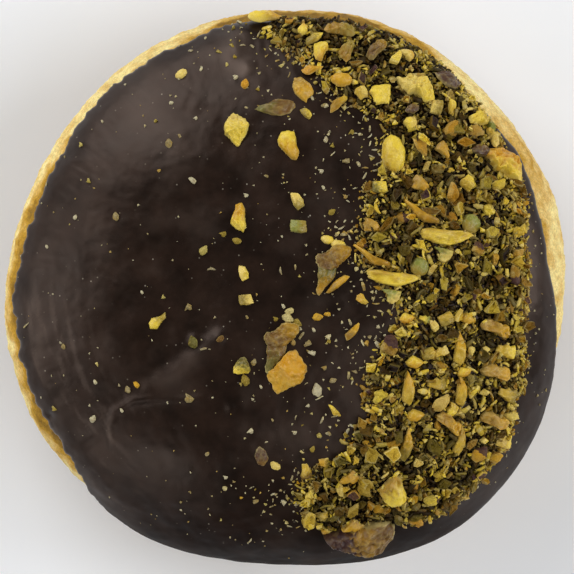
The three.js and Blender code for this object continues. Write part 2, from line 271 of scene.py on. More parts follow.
def makePistachio(name, values):
    # roasted pistachio kernel: waxy, dry where it broke, with scraps of purple brown skin and toasted spots,
    # pale edges that are partly a painted highlight, and a painted shade on the lower pieces of a pile
    material, add, place = newMaterial(name)
    rim = add("ShaderNodeAttribute", {"attribute_name": "rim"})
    skin = add("ShaderNodeAttribute", {"attribute_name": "skin"})
    mottle = add("ShaderNodeTexNoise", {}, {
        "Vector": place, "Scale": perSize(values["mottleSize"]), "Detail": 4.0, "Roughness": 0.6})
    grain = add("ShaderNodeTexNoise", {}, {
        "Vector": place, "Scale": perSize(values["grainSize"]), "Detail": 2.0, "Roughness": 0.6})
    stain = add("ShaderNodeAttribute", {"attribute_name": "stain"})
    drift = add("ShaderNodeMapRange", {}, {
        "Value": mottle, "From Min": 0.3, "From Max": 0.7,
        "To Min": -values["drift"], "To Max": values["drift"]})
    ends = []
    for end in ("tint", "farTint"):
        tint = add("ShaderNodeAttribute", {"attribute_name": end})
        shifted = add("ShaderNodeMath", {"operation": "ADD", "use_clamp": True}, {
            "Value": (tint, "Fac"), "Value_001": drift})
        ramp = add("ShaderNodeValToRGB", {}, {"Fac": shifted})
        fillRamp(ramp, [(nutTints[key], colour) for key, colour in values["colours"].items()])
        ends.append(ramp)
    blend = add("ShaderNodeAttribute", {"attribute_name": "blend"})
    base = add("ShaderNodeMix", {"data_type": "RGBA"}, {
        "Factor_Float": (blend, "Fac"), "A_Color": ends[0], "B_Color": ends[1]})
    spots = add("ShaderNodeMapRange", {}, {
        "Value": mottle, "From Min": 0.56, "From Max": 0.72, "To Min": 0.0, "To Max": values["spotShare"]})
    toasted = add("ShaderNodeMix", {"data_type": "RGBA"}, {
        "Factor_Float": spots, "A_Color": base, "B_Color": linear(values["toasted"])})
    # pale rims: broken kernel and a painted highlight on edges and crag tops
    edge = add("ShaderNodeMath", {"operation": "MULTIPLY", "use_clamp": True}, {
        "Value": (rim, "Fac"), "Value_001": values["rimShare"]})
    broken = add("ShaderNodeMix", {"data_type": "RGBA"}, {
        "Factor_Float": edge, "A_Color": toasted, "B_Color": linear(values["broken"])})
    torn = add("ShaderNodeMapRange", {}, {
        "Value": mottle, "From Min": 0.46, "From Max": 0.6, "To Min": 1.0, "To Max": 0.85})
    skinned = add("ShaderNodeMath", {"operation": "MULTIPLY", "use_clamp": True}, {
        "Value": (skin, "Fac"), "Value_001": torn})
    coloured = add("ShaderNodeMix", {"data_type": "RGBA"}, {
        "Factor_Float": skinned, "A_Color": broken, "B_Color": linear(values["skin"])})
    # grain tone that is darker where the bump sinks, so it also paints shade into the pits
    darkest, lightest = values["speckle"]
    speckle = add("ShaderNodeMapRange", {}, {
        "Value": grain, "From Min": 0.3, "From Max": 0.7, "To Min": darkest, "To Max": lightest})
    final = add("ShaderNodeMix", {"data_type": "RGBA", "blend_type": "MULTIPLY"}, {
        "Factor_Float": 1.0, "A_Color": coloured, "B_Color": speckle})
    # painted shade: lower pieces of a pile are darkened
    pileShaded = add("ShaderNodeMix", {"data_type": "RGBA", "blend_type": "MULTIPLY"}, {
        "Factor_Float": (stain, "Fac"), "A_Color": final, "B_Color": linear(values["stain"])})
    bump = add("ShaderNodeBump", {}, {
        "Height": grain, "Strength": 0.7, "Distance": values["grainDepth"] * mm})
    finishMaterial(add, {
        "Base Color": pileShaded, "Roughness": values["roughness"], "Normal": bump,
        "Specular IOR Level": values["gloss"], "Subsurface Weight": values["waxiness"],
        "Subsurface Radius": (1.0, 0.85, 0.4), "Subsurface Scale": 0.4 * mm})
    return material


friedCrust = makeFriedCrust(crustFinish)
darkChocolate = makeDarkChocolate(chocolateFinish)
pistachio = makePistachio("choppedPistachio", nutFinish)
pistachioCrumb = makePistachio("pistachioCrumb", crumbFinish)
pistachioKernel = makePistachio("pistachioKernel", kernelFinish)
print("materials made")


# The form that crust and coat share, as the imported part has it

form = {
    "beltRadius": 47.2,
    "beltHeight": 20.0,
    "crownRise": 22.0,
    "footDrop": 21.0,
    "boxiness": 2.3,
    "lobes": [  # waves round the rim, height, degrees of the first crest
        (2, 0.55, 19), (3, 0.8, 80), (4, 0.4, 35), (5, 0.2, 13), (6, 0.25, 5)],
    "swells": [  # x, y, height, radius
        (-21, 20, 0.7, 13), (-15, -3, -1.0, 9), (-9, -27, 0.9, 11), (24, 8, 0.8, 14), (6, 20, -0.6, 9)],
    "coatEdge": [  # degrees counter-clockwise from +X, height
        (-18, 25.5), (0, 30.2), (16, 31.2), (26, 29.2), (40, 30.2), (58, 28.9), (92, 29.0), (103, 28.2),
        (116, 29.7), (137, 28.8), (160, 30.0), (182, 29.1), (205, 29.0), (217, 29.7), (228, 25.5),
        (243, 20.0), (265, 17.0), (300, 17.5), (325, 19.5)],
    "edgeEasing": 16,  # spread of the easing between those, in steps of a quarter of a degree
    # each kind of small wave along the edge: height, size, octaves, seed
    "edgeWave": (0.5, 6.0, 2, 4.0),
    "edgeFray": (0.65, 1.6, 5, 9.0),
    "edgeFlow": (1.3, 8.0, 2, 21.0),
}


def outlineRadius(angle):
    return form["beltRadius"] + sum(
        swell * np.cos(waves * (angle - math.radians(peak))) for waves, swell, peak in form["lobes"])


def latitudeOf(height):
    rise = height - form["beltHeight"]
    share = np.abs(rise) / np.where(rise < 0, form["footDrop"], form["crownRise"])
    return np.sign(rise) * np.arcsin(np.minimum(1, share) ** (form["boxiness"] / 2))


def doughPoint(angle, latitude, lift):
    boxy = form["boxiness"]
    radius = outlineRadius(angle)
    rise = np.where(latitude < 0, form["footDrop"], form["crownRise"])
    outward = np.abs(np.cos(latitude)) ** (2 / boxy)
    upward = np.sign(latitude) * np.abs(np.sin(latitude)) ** (2 / boxy)
    slopeOut = outward ** (boxy - 1) / radius
    slopeUp = np.sign(upward) * np.abs(upward) ** (boxy - 1) / rise
    steep = np.hypot(slopeOut, slopeUp)
    x = radius * outward * np.cos(angle)
    y = radius * outward * np.sin(angle)
    relief = sum(high * np.exp(-((x - sx) ** 2 + (y - sy) ** 2) / spread ** 2)
                 for sx, sy, high, spread in form["swells"])
    away = lift + relief * np.maximum(0, upward)
    out = away * slopeOut / steep
    z = form["beltHeight"] + rise * upward + away * slopeUp / steep
    return np.column_stack([x + out * np.cos(angle), y + out * np.sin(angle), np.maximum(0, z)])


def fractalAt(points, size, octaves, seed):
    shift = Vector((seed, 2.7 * seed, -1.3 * seed))
    return np.array([noise.fractal(Vector(p) / size + shift, 1.0, 2.0, octaves) for p in points])


def smoothstep(low, high, value):
    t = np.clip((value - low) / (high - low), 0, 1)
    return t * t * (3 - 2 * t)


def edgeHeights(turns, values):
    # height of the coat's edge at each turn: the named heights eased together, with small waves and drips
    reach = 3 * values["edgeEasing"]
    easing = np.exp(-0.5 * (np.arange(-reach, reach + 1) / values["edgeEasing"]) ** 2)
    rows = sorted((at % 360, height) for at, height in values["coatEdge"])
    steps = np.interp(turns, [r[0] for r in rows], [r[1] for r in rows], period=360)
    wrapped = np.concatenate([steps[-reach:], steps, steps[:reach]])
    smooth = np.convolve(wrapped, easing / easing.sum(), "valid")
    ring = np.column_stack([np.cos(np.radians(turns)), np.sin(np.radians(turns)), 0 * turns]) * 47
    isRagged = 0.25 + 0.75 * smoothstep(85, 110, turns) * smoothstep(250, 225, turns)
    isFlowing = smoothstep(235, 250, turns) * smoothstep(345, 325, turns)
    waveHigh, frayHigh, flowHigh = (values[name][0] for name in ("edgeWave", "edgeFray", "edgeFlow"))
    wave, fray, flow = (fractalAt(ring, *values[name][1:]) for name in ("edgeWave", "edgeFray", "edgeFlow"))
    waves = waveHigh * wave + frayHigh * isRagged * fray
    waves += flowHigh * isFlowing * flow
    return smooth + waves


edgeTurns = np.arange(0, 360, 0.25)
edgeRing = edgeHeights(edgeTurns, form)


def coatEdgeHeight(angle):
    return np.interp(np.degrees(angle) % 360, edgeTurns, edgeRing, period=360)


# Arc length up the side from the table, so that rows of points can be spaced evenly
arcSteps = 1200
arcLatitudes = np.linspace(latitudeOf(np.array(0.0)), math.pi / 2, arcSteps)
arcPoints = doughPoint(np.full(arcSteps, math.pi), arcLatitudes, 0.0)
arcLengths = np.concatenate([[0], np.cumsum(np.linalg.norm(np.diff(arcPoints, axis=0), axis=1))])
arcTotal = arcLengths[-1]


def arcOf(latitude):
    return np.interp(latitude, arcLatitudes, arcLengths)


def latitudeAt(arc):
    return np.interp(arc, arcLengths, arcLatitudes)


def meshFrom(name, points, faces, material):
    mesh = bpy.data.meshes.new(name)
    mesh.from_pydata((np.asarray(points) * mm).tolist(), [], faces)
    mesh.polygons.foreach_set("use_smooth", [True] * len(mesh.polygons))
    mesh.materials.append(material)
    piece = bpy.data.objects.new(name, mesh)
    bpy.context.scene.collection.objects.link(piece)
    return piece


def setAttribute(piece, name, values, rest=0.0):
    # points past the given ones, such as those of an underside, get the value in rest
    shares = np.full(len(piece.data.vertices), rest)
    shares[:len(values)] = values
    layer = piece.data.attributes.new(name, "FLOAT", "POINT")
    layer.data.foreach_set("value", shares)


def ringOrder(around, isInward):
    step = np.arange(around)
    following = (step + 1) % around
    return (following, step) if isInward else (step, following)


def ringQuads(first, second, around, isInward=False):
    # faces between two rings of points, given by the number of each ring's first point
    near, far = ringOrder(around, isInward)
    return np.column_stack([first + near, first + far, second + far, second + near]).tolist()


def ringFan(ring, middle, around, isInward=False):
    near, far = ringOrder(around, isInward)
    return np.column_stack([ring + near, ring + far, np.full(around, middle)]).tolist()


# The dough: a fine skin with a puckered pale belt, blisters, browning, and a darker back that is partly
# painted shade

crust = {
    "around": 720,
    "rows": 124,
    "hiddenRows": 6,
    "footRings": [0.8, 0.55, 0.3],
    "coveredHeight": 36.0,  # above it the coat hides the crust, and rows are few
    "belt": (10, 15, 21, 26),  # heights where the pale belt starts, is full from and to, and ends
    "beltDip": 0.15,
    "coatDip": 0.45,
    "bulge": (19, 8, 0.65),  # degrees, spread and height of the swelling at the right
    # each noise in the skin: size, octaves, seed
    "broad": (11, 2, 1.0),
    "blister": (2.4, 4, 2.0),
    "pucker": (1.6, 3, 3.0),
    "frayed": (0.9, 2, 4.0),
    "puckerStretch": 0.35,
    "reliefs": (0.22, 0.2, 0.14, 0.16),  # heights of broad, blister, frayed and pucker
    "goldenFrom": (30.2, 4.4, 6.5),  # height, and how much lower at the left and at the back
    "goldenPatch": (28, 8, 25.5, 2.6, 0.5),  # degrees, spread, height, spread and share of a browned patch
    "lowBrowning": (16.5, 9.5, 0.82),  # heights where it starts and is full, and its share
}


def makeCrust(values):
    around = values["around"]
    coveredArc = arcOf(latitudeOf(np.array(values["coveredHeight"])))
    arcs = np.concatenate([
        np.linspace(0, coveredArc, values["rows"]),
        np.linspace(coveredArc, arcTotal, values["hiddenRows"] + 1, endpoint=False)[1:]])
    angle = np.tile(np.arange(around) / around * 2 * math.pi, len(arcs))
    latitude = latitudeAt(np.repeat(arcs, around))
    bare = doughPoint(angle, latitude, 0.0)
    height = bare[:, 2]
    fromEdge = np.repeat(arcs, around) - arcOf(latitudeOf(coatEdgeHeight(angle)))
    beltStart, beltLow, beltHigh, beltEnd = values["belt"]
    belt = smoothstep(beltStart, beltLow, height) * smoothstep(beltEnd, beltHigh, height)
    broad, blister, frayed = (fractalAt(bare, *values[name]) for name in ("broad", "blister", "frayed"))
    stretch = values["puckerStretch"]
    pucker = fractalAt(bare * [stretch, stretch, 1], *values["pucker"])
    at, spread, high = values["bulge"]
    bulge = high * np.exp(-((np.degrees(angle) - at) / spread) ** 2)
    broadHigh, blisterHigh, frayedHigh, puckerHigh = values["reliefs"]
    lift = broadHigh * broad + blisterHigh * blister + frayedHigh * frayed
    lift = lift + belt * (puckerHigh * pucker + bulge - values["beltDip"])
    lift *= smoothstep(0, 2, height)
    lift -= values["coatDip"] * smoothstep(0, 1.4, fromEdge)
    points = doughPoint(angle, latitude, lift)
    points[:around, 2] = 0
    faces = []
    for row in range(len(arcs) - 1):
        faces += ringQuads(row * around, (row + 1) * around, around)
    rings = [points[:around] * share for share in values["footRings"]]
    stack = [0] + [len(points) + i * around for i in range(len(rings))]
    for outer, inner in zip(stack, stack[1:]):
        faces += ringQuads(outer, inner, around, True)
    footMiddle = stack[-1] + around
    faces += ringFan(stack[-1], footMiddle, around, True)
    faces += ringFan((len(arcs) - 1) * around, footMiddle + 1, around)
    crown = doughPoint(np.zeros(1), np.array([math.pi / 2]), -0.4)
    everything = np.concatenate([points] + rings + [np.zeros((1, 3)), crown])
    piece = meshFrom("dough_crust", everything, faces, friedCrust)
    degrees = np.degrees(angle) % 360
    isLeft = smoothstep(135, 165, degrees) * smoothstep(232, 215, degrees)
    # the back is darker golden from lower down: partly browning in the oil, partly a painted shade
    wander = degrees + 9 * broad
    isBack = smoothstep(48, 80, wander) * smoothstep(120, 98, wander)
    golden, lowerLeft, lowerBack = values["goldenFrom"]
    goldenFrom = golden - lowerLeft * isLeft - lowerBack * isBack
    at, spread, level, highness, share = values["goldenPatch"]
    patch = np.exp(-((degrees - at) / spread) ** 2 - ((height + 2.5 * blister - level) / highness) ** 2)
    drift = 1.6 * broad + 0.9 * blister
    browning = 0.72 * smoothstep(goldenFrom - 2.2, goldenFrom + 2.6, height + drift) + share * patch
    browning += 0.24 * isBack * smoothstep(13, 23, height + 2 * drift)
    start, full, share = values["lowBrowning"]
    browning += share * smoothstep(start, full, height + 1.3 * drift) + 0.14 * smoothstep(3, 0, height)
    setAttribute(piece, "browning", np.clip(browning + 0.13 + 0.12 * blister, 0, 1), rest=0.9)
    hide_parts("dough")
    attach(piece, "root")
    print("crust made:", len(piece.data.polygons), "faces")


makeCrust(crust)


# The chocolate coat: a closed shell with a round lip, poured folds, pits and lumps

coat = {
    "rings": 150,
    "underRings": 8,
    "thickness": 1.5,  # off the dough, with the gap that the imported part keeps
    "bead": 0.35,
    "beadWidth": 4.0,
    "lipWidth": 1.7,
    "tuck": 0.15,
    "innerLift": -0.3,
    # each noise in the surface: height, size, octaves, seed
    "broad": (0.2, 15, 2, 5.0),
    "middling": (0.09, 4.5, 3, 6.0),
    "fine": (0.03, 1.6, 3, 8.0),
    # each kind of streak along the rim, ripples in relief and grey streaks of painted sheen: share, width,
    # turns, octaves, seed
    "ripples": (0.045, 2.6, 2.2, 3, 7.0),
    "sheenStreaks": (0.3, 1.1, 5, 4, 17.0),
    # each swell or hollow: x, y, height, length, width, way in degrees
    "swells": [
        (-18, 3, -0.9, 9, 6, -35), (-12, 15, -0.5, 8, 5, 20), (-18, -27, 0.7, 13, 7, -15),
        (-29, 19, 0.45, 10, 5, 60), (-33, -8, 0.35, 8, 4, 80), (-4, -4, -0.4, 6, 5, 0),
        (-26, -8, 0.4, 7, 3, 50), (-8, 25, -0.4, 6, 4, 0)],
    # each fold: points, height, width
    "folds": [
        ([(-9, -7.6), (-12.5, -9.8), (-16, -12.6), (-19.7, -15.2), (-23, -17.4), (-26.4, -19.1)],
         0.48, 1.8),
        ([(-12.5, -18), (-16.1, -18.6), (-21, -18.3), (-25.3, -18.7), (-28.6, -20.7), (-29.5, -23),
          (-29, -27)], 0.32, 0.7),
        ([(-31, 2), (-27, 0), (-24.5, -1.6)], 0.05, 0.35),
    ],
    # each painted highlight, a pale streak on a fold, a lump or the rim: points, share, width
    "paintedHighlights": [
        ([(-11, -8.6), (-15, -11.8), (-18.6, -14.6), (-22, -17)], 0.3, 1.1),
        ([(-28.7, -20.5), (-29.8, -23), (-29.2, -26.5)], 0.35, 0.35),
        ([(-36.5, -16), (-38.5, -20), (-38, -24), (-35, -28.5)], 0.35, 0.9),
        ([(-41, -6), (-41.5, -12), (-40, -18)], 0.25, 0.8),
        ([(-34, -31), (-31.5, -35), (-29, -37)], 0.25, 1.0),
        ([(-7.5, 43), (-8.6, 39), (-7, 35)], 1.1, 2.4),
        ([(-26, 27), (-22, 32), (-17, 36)], 0.12, 2.5),
    ],
    # each lump or pit: x, y, height, radius
    "lumps": [
        (-7.4, 43, 0.55, 2.2), (-8.8, 39.6, 0.4, 1.6), (-6.6, 36.5, 0.3, 1.1), (-17.3, 30.7, 0.16, 0.9),
        (-15.4, 30.1, 0.15, 1.0), (-16.6, 32.0, 0.1, 0.7), (-11.4, -8.2, 0.45, 1.1),
        (-15.6, -8.6, 0.4, 0.9), (-39.7, -21.5, -0.35, 0.8), (-9.2, -20.2, -0.3, 0.9),
        (-34, 20, -0.12, 0.7), (-31, 33, 0.15, 1.2)],
}


def hexDisc(rings):
    # vertices on rings of 6, 12, 18 and so on, so that triangles stay even all the way out
    share = [0.0]
    angle = [0.0]
    for ring in range(1, rings + 1):
        turns = np.arange(6 * ring) / (6 * ring)
        share += [ring / rings] * (6 * ring)
        angle += (turns * 2 * math.pi).tolist()
    faces = []
    for ring in range(1, rings + 1):
        outer = 1 + 3 * ring * (ring - 1)
        inner = 1 + 3 * (ring - 1) * (ring - 2) if ring > 1 else 0
        innerCount = max(1, 6 * (ring - 1))
        for sector in range(6):
            for i in range(ring):
                a = outer + (sector * ring + i) % (6 * ring)
                b = outer + (sector * ring + i + 1) % (6 * ring)
                c = inner + (sector * (ring - 1) + i) % innerCount
                faces.append((a, b, c))
                if i < ring - 1:
                    faces.append((c, b, inner + (sector * (ring - 1) + i + 1) % innerCount))
    return np.array(share), np.array(angle), faces


def distanceTo(places, line):
    # nearest distance from each place to a line of points, and how far along the line that is, from 0 to 1
    best = np.full(len(places), 1e9)
    along = np.zeros(len(places))
    count = len(line) - 1
    for i in range(count):
        start = np.array(line[i], float)
        way = np.array(line[i + 1], float) - start
        t = np.clip(((places - start) @ way) / (way @ way), 0, 1)
        far = np.linalg.norm(places - start - t[:, None] * way, axis=1)
        nearer = far < best
        best[nearer] = far[nearer]
        along[nearer] = ((i + t) / count)[nearer]
    return best, along


def raisedAlong(points, line, high, width):
    # a ridge along a line of points, which eases away at its ends and to its sides
    far, along = distanceTo(points[:, :2], line)
    return high * np.exp(-(far / width) ** 2) * np.sqrt(np.clip(np.sin(along * math.pi), 0, 1))


def rimStreaks(points, width, turns, octaves, seed):
    # noise drawn out along the rim
    reach = np.hypot(points[:, 0], points[:, 1])
    turn = np.arctan2(points[:, 1], points[:, 0])
    places = np.column_stack([reach / width, np.cos(turn) * turns, np.sin(turn) * turns])
    return fractalAt(places, 1.0, octaves, seed)


def coatRelief(points, values):
    broad, middling, fine = (
        values[name][0] * fractalAt(points, *values[name][1:]) for name in ("broad", "middling", "fine"))
    relief = broad + middling
    high, *shape = values["ripples"]
    relief += high * rimStreaks(points, *shape) * smoothstep(-20, -34, points[:, 0]) + fine
    for x, y, high, along, across, way in values["swells"]:
        turn = math.radians(way)
        dx, dy = points[:, 0] - x, points[:, 1] - y
        turnX = dx * math.cos(turn) + dy * math.sin(turn)
        turnY = dy * math.cos(turn) - dx * math.sin(turn)
        relief += high * np.exp(-(turnX / along) ** 2 - (turnY / across) ** 2)
    for line, high, width in values["folds"]:
        relief += raisedAlong(points, line, high, width)
    for x, y, high, radius in values["lumps"]:
        relief += high * np.exp(-((points[:, 0] - x) ** 2 + (points[:, 1] - y) ** 2) / radius ** 2)
    return relief


def coatBloomAndSheen(points, fromEdge, values):
    # painted sheen as grey streaks along the rim at the left, faint bloom in clouds elsewhere, a painted
    # highlight as a pale line at the lip, and the painted highlight streaks
    share, *shape = values["sheenStreaks"]
    streaks = rimStreaks(points, *shape)
    clouds = fractalAt(points, 7, 5, 18.0)
    reach = np.hypot(points[:, 0], points[:, 1])
    onLeft = smoothstep(-22, -32, points[:, 0])
    # painted sheen: grey streaks on the left rim, below the middle
    sheenBand = smoothstep(31, 37, reach) * onLeft * smoothstep(6, -6, points[:, 1])
    # painted highlight: a pale line just inside the lip, on the left
    lip = np.exp(-((fromEdge - 0.7) / 0.5) ** 2) * smoothstep(-10, -25, points[:, 0])
    bloom = share * smoothstep(0.05, 0.6, streaks) * sheenBand
    bloom = bloom + 0.16 * smoothstep(-0.1, 0.8, clouds) + 0.3 * lip
    # painted highlights along the listed streaks, paler where the clouds are
    for line, share, width in values["paintedHighlights"]:
        bloom += raisedAlong(points, line, share, width) * (0.7 + 0.6 * clouds)
    return np.clip(bloom, 0, 1)


def makeCoat(values):
    # the outer skin from crown to lip, an underside that follows it inwards, and the ground for the nuts
    share, angle, faces = hexDisc(values["rings"])
    edgeArc = arcOf(latitudeOf(coatEdgeHeight(angle)))
    fromEdge = (arcTotal - edgeArc) * (1 - share ** 1.04)
    latitude = latitudeAt(edgeArc + fromEdge)
    latitude[0] = math.pi / 2
    bead = values["bead"] * np.exp(-((fromEdge / values["beadWidth"] - 1) ** 2))
    lip = np.sqrt(np.clip(1 - (1 - np.minimum(1, fromEdge / values["lipWidth"])) ** 2, 0, 1))
    bare = doughPoint(angle, latitude, values["thickness"])
    relief = coatRelief(bare, values) * smoothstep(0, 3, fromEdge)
    lift = (values["thickness"] + values["tuck"] + bead + relief) * lip - values["tuck"]
    outer = doughPoint(angle, latitude, lift)
    around = 6 * values["rings"]
    firstEdge = len(outer) - around
    rimAngle = angle[firstEdge:]
    rimArc = edgeArc[firstEdge:]
    under = []
    for ring in range(1, values["underRings"] + 1):
        inward = (ring / values["underRings"]) ** 2 * (arcTotal - rimArc) * 0.97
        under.append(doughPoint(rimAngle, latitudeAt(rimArc + inward), values["innerLift"]))
    crown = doughPoint(np.zeros(1), np.array([math.pi / 2]), values["innerLift"])
    points = np.concatenate([outer] + under + [crown])
    starts = [firstEdge] + [len(outer) + i * around for i in range(len(under))]
    for above, below in zip(starts, starts[1:]):
        faces += ringQuads(above, below, around, True)
    faces += ringFan(starts[-1], len(points) - 1, around, True)
    piece = meshFrom("chocolate_glaze", points, faces, darkChocolate)
    setAttribute(piece, "bloom", coatBloomAndSheen(outer, fromEdge, values))
    isTop = smoothstep(24, 36, outer[:, 2])
    isNear = np.exp(-np.clip(8 - outer[:, 0], 0, None) / 16)
    patchy = 1 + 1.2 * fractalAt(outer, 5, 3, 31.0)
    setAttribute(piece, "dusty", np.clip(isTop * (0.45 + 0.55 * isNear) * patchy, 0, 1))
    isFront = smoothstep(-34, -42, outer[:, 1])
    setAttribute(piece, "shine", smoothstep(17, 30, outer[:, 2]) * (1 - 0.85 * isFront))
    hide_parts("chocolate_coat")
    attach(piece, "root")
    print("coat made:", len(piece.data.polygons), "faces")
    ground = meshFrom("nut_ground", outer, [f for f in faces if max(f) < len(outer)], darkChocolate)
    return ground, outer, fromEdge


ground, groundPoints, groundFromEdge = makeCoat(coat)
groundTree = BVHTree.FromPolygons(groundPoints.tolist(), [tuple(p.vertices) for p in ground.data.polygons])


# Pieces that stand out, each drawn by its outline in millimetres and carved from that

